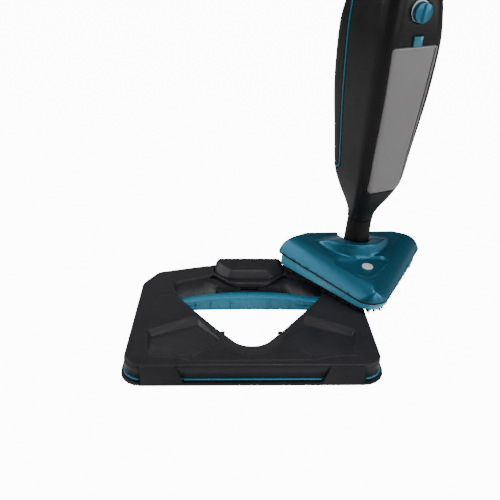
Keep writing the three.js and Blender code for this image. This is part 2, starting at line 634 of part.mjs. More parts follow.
function waterTank() {
  const skin = common(bodyLoft(0.2, 20, 400), tankZone(-GAP));
  const hollow = common(bodyLoft(0.2 + TANK_WALL, 20, 400), tankZone(-GAP - TANK_WALL));
  const mouth = rod(0, MOUTH_Y, TANK_TOP - 12, TANK_TOP + 10, MOUTH_RADIUS, 24);
  return cut(skin, hollow, mouth, rod(0, VALVE_Y, TANK_BOTTOM - 5, TANK_BOTTOM + 8, 4.3, 12));
}

function tankCap() {
  const plug = rod(0, MOUTH_Y, TANK_TOP - 8, TANK_TOP - 1.7, MOUTH_RADIUS - 0.4, 24);
  const grip = box(-7, 7, MOUTH_Y - 1.5, MOUTH_Y + 1.5, TANK_TOP - 2, TANK_TOP);
  return cut(join(plug, grip), rod(0, MOUTH_Y, TANK_TOP - 12, TANK_TOP - 5, MOUTH_RADIUS - 3, 20));
}

function steamDial() {
  const dial = depthRod(0, -75, -66, DIAL_Z, DIAL_RADIUS, 32);
  const grip = box(-2.5, 2.5, -79, -74, DIAL_Z - 14, DIAL_Z + 14);
  return join(dial, grip);
}

function dialBase() {
  return join(depthRod(0, -65.6, -60, DIAL_Z, DIAL_RADIUS + 1.6, 24), depthRod(0, -61, -50, DIAL_Z, 8, 16));
}

const BOILER_Y = 28;
const BOILER_RADIUS = 24;

function boiler() {
  const [low, high] = [130, 250];
  const neck = rod(0, BOILER_Y, high - 5, high + 12, 8, 16);
  const foot = rod(12, BOILER_Y, low - 10, low + 5, 5, 12);
  const tank = join(rod(0, BOILER_Y, low, high, BOILER_RADIUS, 28), neck, foot);
  const hollow = rod(0, BOILER_Y, low + 3, high - 3, BOILER_RADIUS - 2.5, 28);
  return cut(tank, hollow, rod(0, BOILER_Y, high - 10, high + 20, 5, 16));
}

function pump() {
  return join(box(-18, 18, 8, 48, 278, 306), rod(0, BOILER_Y, 304, 336, 13, 20));
}

function circuitBoard() {
  const parts = [[-22, 360], [4, 372], [-12, 392]].map(([x, z]) => box(x, x + 14, 22, 31, z, z + 9));
  return join(box(-32, 32, 20, 22.4, 352, 412), ...parts);
}

function boilerHose() {
  const way = [
    [-21.6, 14, 292], [-27, 15, 285], [-25, 20, 275], [-13, 26, 270.5],
    [-3, BOILER_Y, 268], [0, BOILER_Y, 261], [0, BOILER_Y, 255],
  ];
  return tubeAlong(way, 3, 20);
}

function tankValve() {
  const stem = rod(0, VALVE_Y, TANK_BOTTOM + GAP, TANK_BOTTOM + 14, 3.6, 12);
  return join(stem, rod(0, VALVE_Y, TANK_BOTTOM + 4, TANK_BOTTOM + 7, 3.9, 12));
}

// ---- handle, in the body's frame ----
const HOOK_UPPER_Z = 800;
const HOOK_UPPER_Y = 22;
const HOOK_LOWER_Z = 372;
const HOOK_LOWER_Y = 82;
const GRIP_OUTLINE = [
  [-19, TUBE_TOP - 12], [19, TUBE_TOP - 12], [58, TUBE_TOP + 58],
  [52, TUBE_TOP + 136], [-36, TUBE_TOP + 150], [-48, TUBE_TOP + 62],
];
const GRIP_RADII = [6, 6, 46, 34, 34, 60];
const FINGER_INSET = [30, 22, 22, 24, 22, 22];


const TRIGGER_PIVOT = [30, TUBE_TOP + 118];

function gripHalf(side) {
  const ring = (distance) => rounded(inset(GRIP_OUTLINE, distance), GRIP_RADII);
  const outer = loft([
    atHeight(ring(0), GAP / 2), atHeight(ring(0), 9), atHeight(ring(3), 14), atHeight(ring(8), 16),
  ]).applyMatrix4(sideways);
  const opening = rounded(inset(GRIP_OUTLINE, FINGER_INSET), [8, 16, 30, 22, 22, 30]);
  const fingers = plate(opening, -1, 20).applyMatrix4(sideways);
  const socket = rod(0, 0, TUBE_TOP - 20, TUBE_TOP + 4.4, TUBE_RADIUS + 0.4, 24);
  const triggerRoom = box(-6, 6, 14, 49, TUBE_TOP + 72, TUBE_TOP + 126);
  const half = cut(outer, fingers, socket, triggerRoom);
  return side > 0 ? half : surface(solid(half).mirror([1, 0, 0]));
}

function handleTube() {
  const tube = rod(0, 0, BODY_TOP - 12, TUBE_TOP + 4, TUBE_RADIUS, 28);
  return cut(tube, rod(0, 0, BODY_TOP - 20, TUBE_TOP + 10, TUBE_RADIUS - 1.8, 24));
}

function steamTrigger() {
  const outline = [
    [22, TUBE_TOP + 80], [34, TUBE_TOP + 75], [37, TUBE_TOP + 116], [30, TUBE_TOP + 124],
    [20, TUBE_TOP + 112],
  ];
  const ring = rounded(outline, 3, 3);
  const lever = plate(ring, -5.4, 5.4).applyMatrix4(sideways);
  return cut(lever, crossRod(-9, 9, ...TRIGGER_PIVOT, 1.5 + GAP / 2, 10));
}

// A hook that stands out behind; turn is 1 for a tip that points up and -1 for one that points down.
function cordHook(y, z, turn) {
  const way = [[0, y + 2, z], [0, y + 16, z], [0, y + 27, z + turn * 5], [0, y + 30, z + turn * 24]];
  const arm = tubeAlong(way, 4, 12, 8);
  return join(arm, depthRod(0, y + GAP, y + 6, z, 10, 20));
}

function hookMount() {
  const clamp = rod(0, 0, HOOK_UPPER_Z - 16, HOOK_UPPER_Z + 16, TUBE_RADIUS + 4, 24);
  const boss = box(-12, 12, 8, HOOK_UPPER_Y, HOOK_UPPER_Z - 12, HOOK_UPPER_Z + 12);
  return cut(join(clamp, boss), rod(0, 0, HOOK_UPPER_Z - 30, HOOK_UPPER_Z + 30, TUBE_RADIUS + GAP, 28));
}

function cableGland() {
  const sleeve = depthRod(0, 56, 98, GLAND_Z, 4.5, 16);
  const collar = depthRod(0, 67.4, 71, GLAND_Z, 8, 16);
  return cut(join(sleeve, collar), depthRod(0, 50, 100, GLAND_Z, 3, 12));
}

function buildBody() {
  const group = new THREE.Group();
  makePiece(group, 'body_shell', bodyShell(), bodyBlack());
  makePiece(group, 'rear_panel', rearPanel(), bodyBlack());
  makePiece(group, 'rear_piping', rearPiping(), teal());
  makePiece(group, 'water_tank', waterTank(), tankGrey());
  makePiece(group, 'tank_cap', tankCap(), frameBlack());
  makePiece(group, 'tank_valve', tankValve(), brass());
  makePiece(group, 'steam_dial', steamDial(), pearlTeal());
  makePiece(group, 'dial_base', dialBase(), silver());
  makePiece(group, 'power_button', depthRod(0, -66, -54, POWER_Z, POWER_RADIUS, 20), teal());
  makePiece(group, 'boiler', boiler(), steel());
  makePiece(group, 'pump', pump(), frameBlack());
  makePiece(group, 'circuit_board', circuitBoard(), board());
  makePiece(group, 'boiler_hose', boilerHose(), rubber());
  makePiece(group, 'handle_tube', handleTube(), silver());
  makePiece(group, 'grip_left', gripHalf(-1), bodyBlack());
  makePiece(group, 'grip_right', gripHalf(1), bodyBlack());
  makePiece(group, 'steam_trigger', steamTrigger(), teal());
  makePiece(group, 'trigger_switch', box(-5, 5, 43, 48, TUBE_TOP + 82, TUBE_TOP + 96), frameBlack());
  makePiece(group, 'trigger_pin', crossRod(-5.7, 5.7, ...TRIGGER_PIVOT, 1.5, 10), steel());
  makePiece(group, 'hook_clamp', hookMount(), bodyBlack());
  makePiece(group, 'cord_hook_upper', cordHook(HOOK_UPPER_Y, HOOK_UPPER_Z, 1), bodyBlack());
  makePiece(group, 'cord_hook_lower', cordHook(HOOK_LOWER_Y, HOOK_LOWER_Z, -1), bodyBlack());
  makePiece(group, 'cable_gland', cableGland(), rubber());
  const release = box(-8.6, 8.6, -74, -40, TANK_TOP + 0.7, TANK_TOP + 17.4);
  makePiece(group, 'tank_release_button', release, teal());
  makePiece(group, 'lamp_lens', depthRod(0, -47.4, -40, LAMP_Z, LAMP_RADIUS, 16), teal());
  return group;
}

// ---- assembly ----
const mop = new THREE.Group();
mop.add(buildFloorFrame());
const head = buildHead();
head.position.set(HEAD_PLACE[0], HEAD_PLACE[1] - RAIL_INSET, HEAD_PLACE[2]);
head.rotation.set(0, HEAD_ROLL, HEAD_YAW, 'ZYX');
mop.add(head);
const neck = buildNeck();
neck.position.set(0, PIVOT_Y, PIVOT_Z);
head.add(neck);
const body = buildBody();
body.position.z = NECK_TOP;
body.rotation.z = BODY_YAW;
neck.add(body);

export default mop;
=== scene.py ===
"""A steam mop on its floor frame: looks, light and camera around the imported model."""
import json
import math

import bmesh
import bpy
import numpy as np
from mathutils import Matrix, Vector
from mathutils.geometry import delaunay_2d_cdt


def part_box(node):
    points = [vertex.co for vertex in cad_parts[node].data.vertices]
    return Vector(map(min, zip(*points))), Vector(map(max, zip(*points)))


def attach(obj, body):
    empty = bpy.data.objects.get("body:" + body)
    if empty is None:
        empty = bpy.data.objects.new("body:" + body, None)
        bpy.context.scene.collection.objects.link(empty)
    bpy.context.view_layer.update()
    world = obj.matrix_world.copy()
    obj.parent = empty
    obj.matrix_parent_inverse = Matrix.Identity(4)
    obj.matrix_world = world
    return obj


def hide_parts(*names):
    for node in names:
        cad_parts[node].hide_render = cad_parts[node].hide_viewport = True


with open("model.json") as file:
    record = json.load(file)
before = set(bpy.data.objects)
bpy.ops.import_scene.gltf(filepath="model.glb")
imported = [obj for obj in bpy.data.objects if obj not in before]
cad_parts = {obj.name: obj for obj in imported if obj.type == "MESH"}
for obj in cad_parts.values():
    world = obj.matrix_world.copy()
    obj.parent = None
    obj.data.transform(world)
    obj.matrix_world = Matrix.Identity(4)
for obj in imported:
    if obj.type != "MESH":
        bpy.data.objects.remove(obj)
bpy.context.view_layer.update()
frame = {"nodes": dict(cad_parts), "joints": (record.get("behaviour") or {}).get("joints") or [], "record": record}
NODES = frame["nodes"]
SCENE = bpy.context.scene
MM = 0.001


# ---------------------------------------------------------------------------
# Camera, floor and light
# ---------------------------------------------------------------------------
def make_camera():
    """Looks down on the frame from the front, a little to the right and with a slight roll."""
    place = Vector((-0.0527, -1.1865, 0.9998))
    down, turn, roll = math.radians(32), 0.037, 0.0202
    forward = Vector((math.sin(turn) * math.cos(down), math.cos(turn) * math.cos(down), -math.sin(down)))
    level = Vector((math.cos(turn), -math.sin(turn), 0))
    above = level.cross(forward)
    right = level * math.cos(roll) + above * math.sin(roll)
    up = above * math.cos(roll) - level * math.sin(roll)
    data = bpy.data.cameras.new("camera")
    data.sensor_width = 36
    data.lens = 64.8
    data.clip_end = 30
    camera = bpy.data.objects.new("camera", data)
    SCENE.collection.objects.link(camera)
    axes = Matrix((right, up, -forward)).transposed()
    camera.matrix_world = Matrix.Translation(place) @ axes.to_4x4()
    SCENE.camera = camera


def make_floor():
    data = bpy.data.meshes.new("floor")
    reach = 9
    corners = [(-reach, -reach, 0), (reach, -reach, 0), (reach, reach, 0), (-reach, reach, 0)]
    data.from_pydata(corners, [], [(0, 1, 2, 3)])
    floor = bpy.data.objects.new("floor", data)
    SCENE.collection.objects.link(floor)
    floor.data.materials.append(floor_paint())


def area_light(name, place, target, size, power, height=None):
    data = bpy.data.lights.new(name, "AREA")
    data.shape = "RECTANGLE"
    data.size = size
    data.size_y = height or size
    data.energy = power
    light = bpy.data.objects.new(name, data)
    light.location = place
    light.rotation_mode = "QUATERNION"
    light.rotation_quaternion = (Vector(target) - Vector(place)).to_track_quat("-Z", "Y")
    light.visible_camera = False
    SCENE.collection.objects.link(light)


def make_world():
    world = bpy.data.worlds.new("world")
    world.use_nodes = True
    tree = world.node_tree
    background = tree.nodes["Background"]
    background.inputs["Strength"].default_value = 0.34
    backdrop = tree.nodes.new("ShaderNodeBackground")
    backdrop.inputs["Color"].default_value = (1, 1, 1, 1)
    backdrop.inputs["Strength"].default_value = 12
    rays = tree.nodes.new("ShaderNodeLightPath")
    mix = tree.nodes.new("ShaderNodeMixShader")
    tree.links.new(rays.outputs["Is Camera Ray"], mix.inputs["Fac"])
    tree.links.new(background.outputs[0], mix.inputs[1])
    tree.links.new(backdrop.outputs[0], mix.inputs[2])
    tree.links.new(mix.outputs[0], tree.nodes["World Output"].inputs["Surface"])
    SCENE.world = world


def make_lights():
    area_light("left_softbox", (-1.1, 0.45, 1.0), (0.1, 0.25, 0.1), 0.5, 8, 0.9)
    area_light("far_left_softbox", (-1.8, -0.6, 1.2), (0.1, 0.2, 0.2), 0.9, 9, 1.6)
    area_light("top_softbox", (0.3, -0.1, 2.7), (0.1, 0.2, 0), 0.9, 24)
    area_light("front_softbox", (1.2, -1.5, 0.8), (0.0, 0.1, 0.1), 0.9, 10)
    area_light("back_strip", (0.0, 2.6, 0.95), (0.0, 0.1, 0), 2.2, 3.5, 0.5)
    area_light("right_strip", (1.9, -0.4, 1.0), (0.2, 0.2, 0.3), 0.4, 16, 1.6)


# ---------------------------------------------------------------------------
# Materials
# ---------------------------------------------------------------------------
class Paint:
    """A node material round one Principled shader, with helpers that add procedural detail."""

    def __init__(self, name, color, roughness, metallic=0.0):
        self.material = bpy.data.materials.new(name)
        self.material.use_nodes = True
        self.tree = self.material.node_tree
        self.shader = self.tree.nodes["Principled BSDF"]
        self.color = color
        self.shader.inputs["Base Color"].default_value = (*color, 1)
        self.shader.inputs["Roughness"].default_value = roughness
        self.shader.inputs["Metallic"].default_value = metallic
        self.material.diffuse_color = (*color, 1)
        self.height = None

    def node(self, kind, **inputs):
        made = self.tree.nodes.new(kind)
        for key, value in inputs.items():
            made.inputs[key.replace("_", " ").title() if key not in made.inputs else key].default_value = value
        return made

    def link(self, source, target):
        self.tree.links.new(source, target)

    def place(self):
        """Object coordinates: metres in the model's own frame."""
        found = self.tree.nodes.get("place")
        if found is None:
            found = self.tree.nodes.new("ShaderNodeTexCoord")
            found.name = "place"
        return found.outputs["Object"]

    def noise(self, per_metre, detail=3.0, roughness=0.5, stretch=None):
        noise = self.tree.nodes.new("ShaderNodeTexNoise")
        noise.inputs["Scale"].default_value = per_metre
        noise.inputs["Detail"].default_value = detail
        noise.inputs["Roughness"].default_value = roughness
        source = self.place()
        if stretch:
            mapping = self.tree.nodes.new("ShaderNodeMapping")
            mapping.inputs["Scale"].default_value = stretch
            self.link(source, mapping.inputs["Vector"])
            source = mapping.outputs["Vector"]
        self.link(source, noise.inputs["Vector"])
        return noise.outputs["Fac"]

    def spread(self, value, low, high, start=0.3, end=0.7):
        """Maps a 0 to 1 value to the range low to high."""
        made = self.tree.nodes.new("ShaderNodeMapRange")
        made.inputs["From Min"].default_value = start
        made.inputs["From Max"].default_value = end
        made.inputs["To Min"].default_value = low
        made.inputs["To Max"].default_value = high
        self.link(value, made.inputs["Value"])
        return made.outputs["Result"]

    def vary_roughness(self, per_metre, low, high, detail=4.0):
        self.link(self.spread(self.noise(per_metre, detail), low, high), self.shader.inputs["Roughness"])
        return self

    def vary_color(self, per_metre, amount, detail=3.0):
        """Light and dark clouds of the base colour."""
        mix = self.tree.nodes.new("ShaderNodeMix")
        mix.data_type = "RGBA"
        low = tuple(c * (1 - amount) for c in self.color)
        high = tuple(min(1, c * (1 + amount)) for c in self.color)
        mix.inputs["A"].default_value = (*low, 1)
        mix.inputs["B"].default_value = (*high, 1)
        self.link(self.spread(self.noise(per_metre, detail), 0, 1), mix.inputs["Factor"])
        self.link(mix.outputs["Result"], self.shader.inputs["Base Color"])
        return self

    def bump(self, per_metre, depth, detail=2.0, stretch=None, strength=1.0):
        """Relief of that depth in metres; each call adds a layer on the one before."""
        made = self.tree.nodes.new("ShaderNodeBump")
        made.inputs["Distance"].default_value = depth
        made.inputs["Strength"].default_value = strength
        self.link(self.noise(per_metre, detail, 0.6, stretch), made.inputs["Height"])
        if self.height is not None:
            self.link(self.height, made.inputs["Normal"])
        self.height = made.outputs["Normal"]
        self.link(self.height, self.shader.inputs["Normal"])
        return self

    def coat(self, weight, roughness):
        self.shader.inputs["Coat Weight"].default_value = weight
        self.shader.inputs["Coat Roughness"].default_value = roughness
        return self

    def specular(self, level):
        self.shader.inputs["Specular IOR Level"].default_value = level
        return self


def floor_paint():
    """White paper, lit from below as on a light table: bright to the eye, dim to the object's own sides."""
    paint = Paint("floor_paint", (0.85, 0.85, 0.85), 0.8)
    paint.shader.inputs["Specular IOR Level"].default_value = 0
    rays = paint.tree.nodes.new("ShaderNodeLightPath")
    glow = paint.spread(rays.outputs["Is Camera Ray"], 0.12, 12, 0, 1)
    paint.shader.inputs["Emission Color"].default_value = (1, 1, 1, 1)
    paint.link(glow, paint.shader.inputs["Emission Strength"])
    return paint.material


def frame_black():
    """Satin black moulding with a fine spark-eroded grain."""
    paint = Paint("frame_black", (0.026, 0.0257, 0.030), 0.40).specular(0.26)
    paint.vary_roughness(60, 0.36, 0.48)
    return paint.vary_color(25, 0.12).bump(2600, 0.00002).bump(90, 0.00004).material


def frame_teal():
    paint = Paint("frame_teal", (0.040, 0.27, 0.42), 0.30)
    return paint.vary_roughness(70, 0.26, 0.36).vary_color(30, 0.06).bump(120, 0.00003).material


def head_pearl_teal():
    """Pearl lacquer: metal flakes under a clear coat."""
    paint = Paint("head_pearl_teal", (0.030, 0.155, 0.245), 0.36, 0.65).specular(0.28)
    paint.vary_color(2500, 0.10, 1.0)
    return paint.vary_roughness(300, 0.32, 0.40).bump(3000, 0.000008).coat(0.06, 0.15).material


def side_teal():
    paint = Paint("side_teal", (0.095, 0.45, 0.66), 0.36)
    return paint.vary_roughness(80, 0.30, 0.40).vary_color(40, 0.05).bump(150, 0.00002).material


def piping_teal():
    paint = Paint("piping_teal", (0.01, 0.17, 0.25), 0.3)
    return paint.vary_roughness(100, 0.26, 0.36).vary_color(50, 0.08).bump(200, 0.00002).material


def body_black():
    paint = Paint("body_black", (0.013, 0.013, 0.0132), 0.34).specular(0.14)
    paint.vary_roughness(45, 0.28, 0.38)
    return paint.vary_color(20, 0.10).bump(70, 0.00004).material


def tank_grey():
    """Smoky translucent tank: light scatters in it, and the wall is a little uneven."""
    paint = Paint("tank_grey", (0.215, 0.206, 0.213), 0.34)
    paint.vary_color(9, 0.05)
    paint.shader.inputs["Subsurface Weight"].default_value = 0.25
    paint.shader.inputs["Subsurface Radius"].default_value = (0.01, 0.01, 0.01)
    return paint.vary_roughness(25, 0.30, 0.36).bump(40, 0.00001).coat(0.12, 0.2).material


def inner_black():
    paint = Paint("inner_black", (0.02, 0.02, 0.02), 0.55)
    return paint.vary_roughness(80, 0.48, 0.62).bump(1500, 0.00003).material


def rubber_black(name):
    paint = Paint(name, (0.012, 0.012, 0.012), 0.7)
    return paint.vary_roughness(200, 0.62, 0.8).bump(1800, 0.00004).material


def brush_black():
    paint = Paint("brush_black", (0.009, 0.009, 0.010), 0.6)
    return paint.vary_color(900, 0.4).bump(2400, 0.00008, 2.0, (1, 1, 0.1)).material


def metal(name, color, roughness, stretch=None, metallic=1.0):
    """Metal with fine drawn lines along the stretched axis."""
    paint = Paint(name, color, roughness, metallic)
    paint.vary_roughness(160, roughness * 0.8, roughness * 1.3)
    return paint.bump(900, 0.000015, 2.0, stretch).material


def board_green():
    paint = Paint("board_green", (0.01, 0.12, 0.05), 0.4)
    return paint.vary_color(500, 0.4, 1.0).bump(700, 0.00006, 1.0).material


def lens_clear():
    paint = Paint("lens_clear", (0.05, 0.35, 0.5), 0.1)
    return paint.coat(1, 0.03).bump(300, 0.00003).material


def make_paints():
    return {
        "frame_black": frame_black(), "frame_teal": frame_teal(), "head_pearl_teal": head_pearl_teal(),
        "side_teal": side_teal(), "piping_teal": piping_teal(), "body_black": body_black(),
        "tank_grey": tank_grey(), "inner_black": inner_black(), "sole_rubber": rubber_black("sole_rubber"),
        "hose_rubber": rubber_black("hose_rubber"), "brush_black": brush_black(),
        "steel": metal("steel", (0.56, 0.57, 0.58), 0.3, (1, 0.05, 1)),
        "boiler_metal": metal("boiler_metal", (0.62, 0.63, 0.65), 0.42),
        "silver_trim": metal("silver_trim", (0.80, 0.82, 0.85), 0.4, None, 0.1),
        "tube_silver": metal("tube_silver", (0.60, 0.61, 0.63), 0.28, (1, 1, 0.03)),
        "valve_brass": metal("valve_brass", (0.60, 0.43, 0.17), 0.3),
        "board_green": board_green(), "lens_clear": lens_clear(),
    }


# ---------------------------------------------------------------------------
# Outlines: arrays of [x, y] in millimetres, anticlockwise
# ---------------------------------------------------------------------------
def unit(vector):
    return vector / np.linalg.norm(vector)


def cross2(a, b):
    return a[0] * b[1] - a[1] * b[0]


def inset(corners, distances):
    """Moves each side of a polygon inwards; side i runs from corner i to corner i + 1."""
    corners = np.asarray(corners, float)
    count = len(corners)
    distances = np.broadcast_to(np.asarray(distances, float), (count,))
    along = [unit(corners[(i + 1) % count] - corners[i]) for i in range(count)]
    start = [corners[i] + distances[i] * np.array((-along[i][1], along[i][0])) for i in range(count)]
    moved = []
    for i in range(count):
        before, gap = i - 1, start[i] - start[i - 1]
        reach = cross2(gap, along[i]) / cross2(along[before], along[i])
        moved.append(start[before] + along[before] * reach)
    return np.array(moved)


def rounded(corners, radii, step=2.0):
    """Rounds each corner with an arc, in steps of about that many millimetres."""
    corners = np.asarray(corners, float)
    count = len(corners)
    radii = np.broadcast_to(np.asarray(radii, float), (count,))
    ring = []
    for i in range(count):
        before = unit(corners[i - 1] - corners[i])
        after = unit(corners[(i + 1) % count] - corners[i])
        half = math.acos(np.clip(before @ after, -1, 1)) / 2
        centre = corners[i] + unit(before + after) * radii[i] / math.sin(half)
        reach = radii[i] / math.tan(half)
        start = corners[i] + before * reach - centre
        end = corners[i] + after * reach - centre
        sweep = math.atan2(cross2(start, end), start @ end)
        steps = max(3, int(abs(sweep) * radii[i] / step) + 1)
        for k in range(steps + 1):
            angle = sweep * k / steps
            turned = np.array((start[0] * math.cos(angle) - start[1] * math.sin(angle),
                               start[0] * math.sin(angle) + start[1] * math.cos(angle)))
            ring.append(centre + turned)
    return np.array(ring)


def finely(ring, step):
    """Adds points to a ring so that no side is longer than step."""
    found = []
    for a, b in zip(ring, np.roll(ring, -1, axis=0)):
        pieces = max(1, math.ceil(np.linalg.norm(b - a) / step))
        found += [a + (b - a) * k / pieces for k in range(pieces)]
    return np.array(found)


def is_inside(points, ring):
    x, y = points[:, 0], points[:, 1]
    inside = np.zeros(len(points), bool)
    for (ax, ay), (bx, by) in zip(ring, np.roll(ring, -1, axis=0)):
        if ay != by:
            crosses = ((ay > y) != (by > y)) & (x < (bx - ax) * (y - ay) / (by - ay) + ax)
            inside ^= crosses
    return inside


def distance_to(points, ring, closed=True):
    """Each point's distance to a line through the ring's points."""
    least = np.full(len(points), 1e9)
    ends = np.roll(ring, -1, axis=0) if closed else ring[1:]
    for a, b in zip(ring, ends):
        side = b - a
        length = side @ side
        if length > 0:
            share = np.clip(((points - a) @ side) / length, 0, 1)
            least = np.minimum(least, np.linalg.norm(points - a - share[:, None] * side, axis=1))
    return least


def depth_in(points, ring):
    """Distance to the ring, positive inside it and negative outside."""
    return distance_to(points, ring) * np.where(is_inside(points, ring), 1, -1)


def smooth(low, high, value):
    share = np.clip((value - low) / (high - low), 0, 1)
    return share * share * (3 - 2 * share)


def fillet(depth, radius):
    """How far a rounded edge lies under the surface, at that depth in from the edge."""
    short = np.clip(radius - depth, 0, radius)
    return radius - np.sqrt(radius * radius - short * short)


def groove(distance, width, depth):
    """A soft-sided channel: depth in its middle, nothing past half its width."""
    return depth * (1 - smooth(0, width / 2, distance))


# ---------------------------------------------------------------------------
# Surfaces
# ---------------------------------------------------------------------------
def relief(outer, holes, lines, spacing, seed=1):
    """Triangles that fill the outline, with the holes left open and the lines kept as edges."""
    low, high = outer.min(0), outer.max(0)
    rows = np.arange(low[1], high[1], spacing * 0.87)
    grid = [(x + (k % 2) * spacing / 2, y) for k, y in enumerate(rows) for x in np.arange(low[0], high[0], spacing)]
    grid = np.array(grid)
    rings = [outer, *holes]
    keep = is_inside(grid, outer) & (distance_to(grid, outer) > spacing * 0.5)
    for hole in holes:
        keep &= ~is_inside(grid, hole) & (distance_to(grid, hole) > spacing * 0.5)
    for line, closed in lines:
        keep &= distance_to(grid, line, closed) > spacing * 0.4
    points = [tuple(p) for p in grid[keep]]
    edges = []
    for ring, closed in [(r, True) for r in rings] + list(lines):
        first = len(points)
        points += [tuple(p) for p in ring]
        count = len(ring)
        edges += [(first + i, first + (i + 1) % count) for i in range(count if closed else count - 1)]
    made = delaunay_2d_cdt([Vector(p) for p in points], edges, [], 0, 1e-5)
    flat = np.array([tuple(p) for p in made[0]])
    faces = np.array([f for f in made[2] if len(f) == 3])
    middle = flat[faces].mean(1)
    keep = is_inside(middle, outer)
    for hole in holes:
        keep &= ~is_inside(middle, hole)
    return used_points(flat, faces[keep])


def used_points(points, faces):
    """Drops the points that no face uses."""
    used, renumbered = np.unique(faces, return_inverse=True)
    return points[used], renumbered.reshape(faces.shape)


def border_loops(faces):
    """The open edges of a triangle list, as closed loops of point numbers in face order."""
    sides = {(int(a), int(b)) for f in faces for a, b in ((f[0], f[1]), (f[1], f[2]), (f[2], f[0]))}
    following = {a: b for a, b in sides if (b, a) not in sides}
    loops = []
    while following:
        start, here = next(iter(following.items()))
        loop = [start]
        del following[start]
        while here != start:
            loop.append(here)
            here = following.pop(here)
        loops.append(loop)
    return loops


def skirted(points, faces, drops):
    """Adds walls under a surface's open edges. drops(ring) gives the rings of points below an edge ring."""
    points = [tuple(p) for p in points]
    faces = [tuple(int(i) for i in f) for f in faces]
    for loop in border_loops(np.array(faces)):
        above = loop
        for ring in drops(np.array([points[i] for i in loop])):
            first = len(points)
            points += [tuple(p) for p in ring]
            below = list(range(first, first + len(loop)))
            count = len(loop)
            for i in range(count):
                j = (i + 1) % count
                faces.append((above[j], above[i], below[i], below[j]))
            above = below
    return points, faces


def make_piece(name, points, faces, body, slot, replaces=(), place=None, shell=0.0):
    """A mesh piece. points are in millimetres, in the frame that place turns into the model's own."""
    data = bpy.data.meshes.new(name)
    co = np.array(points, float) * MM
    data.from_pydata([tuple(p) for p in co], [], [tuple(int(i) for i in f) for f in faces])
    if place is not None:
        data.transform(place)
    data.validate()
    piece = bpy.data.objects.new(name, data)
    SCENE.collection.objects.link(piece)
    tidy = bmesh.new()
    tidy.from_mesh(data)
    bmesh.ops.remove_doubles(tidy, verts=tidy.verts, dist=1e-6)
    bmesh.ops.recalc_face_normals(tidy, faces=tidy.faces)
    tidy.to_mesh(data)
    tidy.free()
    for face in data.polygons:
        face.use_smooth = True
    if shell:
        wall = piece.modifiers.new("wall", "SOLIDIFY")
        wall.thickness = shell * MM
        wall.offset = -1
    data.materials.append(PAINTS[slot])
    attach(piece, body)
    for node in replaces:
        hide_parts(node)
    return piece


# ---------------------------------------------------------------------------
# Frames of the moving parts, from the joints
# ---------------------------------------------------------------------------
JOINTS = {joint["name"]: joint for joint in frame["joints"]}


def frame_at(origin, right, up):
    """The matrix of a part's own frame, from its origin, its X axis and its Z axis."""
    right, up = Vector(right).normalized(), Vector(up).normalized()
    axes = Matrix((right, up.cross(right), up)).transposed()
    return Matrix.Translation(origin) @ axes.to_4x4()


HEAD_PIVOT = Vector((0, -24, 12)) * MM  # the neck's hinge in the head's frame
NECK_TOP = 75
_recline, _swivel, _slide = JOINTS["neck_recline"], JOINTS["body_swivel"], JOINTS["tank_slide"]
HEAD = frame_at(_recline["pos_m"], -Vector(_recline["axis"]), _swivel["axis"])
HEAD = HEAD @ Matrix.Translation(-HEAD_PIVOT)
NECK = frame_at(_recline["pos_m"], -Vector(_recline["axis"]), _swivel["axis"])
BODY = frame_at(_swivel["pos_m"], (-Vector(_slide["axis"])).cross(Vector(_swivel["axis"])), _swivel["axis"])
DECK = Matrix.Translation((0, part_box("frame_base_ring")[0].y, 0))


# ---------------------------------------------------------------------------
# Floor frame: deck. Its y is 0 at the frame's front edge.
# ---------------------------------------------------------------------------
FRAME_OUTLINE = [(-228, 0), (228, 0), (208, 257), (178, 298), (84, 321), (-84, 321), (-178, 298), (-208, 257)]
FRAME_RADII = np.array((36, 36, 22, 22, 12, 12, 22, 22))
HOLE_SIDES = [(0, 38), (131, 214), (143, 252), (67, 279), (34, 246),
              (-34, 246), (-67, 279), (-143, 252), (-131, 214)]
HOLE_RADII = np.array((38, 60, 10, 5, 30, 30, 5, 10, 60))
BEVEL_SIDES = [(-30, 37), (30, 37), (72, 100), (133, 209), (145.5, 253.5), (67, 281.2),
               (33.5, 247.3), (-33.5, 247.3), (-67, 281.2), (-145.5, 253.5), (-133, 209), (-72, 100)]
BEVEL_RADII = (30, 30, 120, 60, 11, 6, 29, 29, 6, 11, 60, 120)
PEDAL_SIDES = [(-40, 259.5), (40, 259.5), (66, 284), (66, 310), (-66, 310), (-66, 284)]
PEDAL_RADII = np.array((40, 40, 20, 9, 9, 20))
PEDAL_FOOT, PEDAL_CREASE, PEDAL_TOP = 41.5, 54.5, 58
DECK_TOP = 39
WALL_FROM_Y = 237  # behind this the hole's edge hangs over the rear wall
SKIRT = 5.8  # the deck's edge lies this far inside the base's outline
POCKET_RIM = [(-184, 106), (-97, 152), (-50, 80), (-100, 31), (-178, 36)]
POCKET_FLOOR = [(-177, 95, 30), (-95, 128, 30), (-57, 80, 34.5), (-101, 34, 38), (-175, 38, 38)]
REAR_LINE = [(-177, 190), (-175, 204), (-169, 212), (-160, 216.5), (-149, 217), (-139, 211), (-133, 205)]
FRONT_LINE = [(-177, 31.6), (-130, 29), (-106, 19.5), (106, 19.5), (130, 29), (177, 31.6)]


def frame_ring(distance):
    return rounded(inset(FRAME_OUTLINE, distance), np.maximum(FRAME_RADII - distance * 0.6, 1))


def hole_ring(distance):
    return rounded(inset(HOLE_SIDES, distance), np.maximum(HOLE_RADII - np.asarray(distance), 4))


def pedal_ring(distance):
    return rounded(inset(PEDAL_SIDES, distance), np.maximum(PEDAL_RADII - distance, 2))


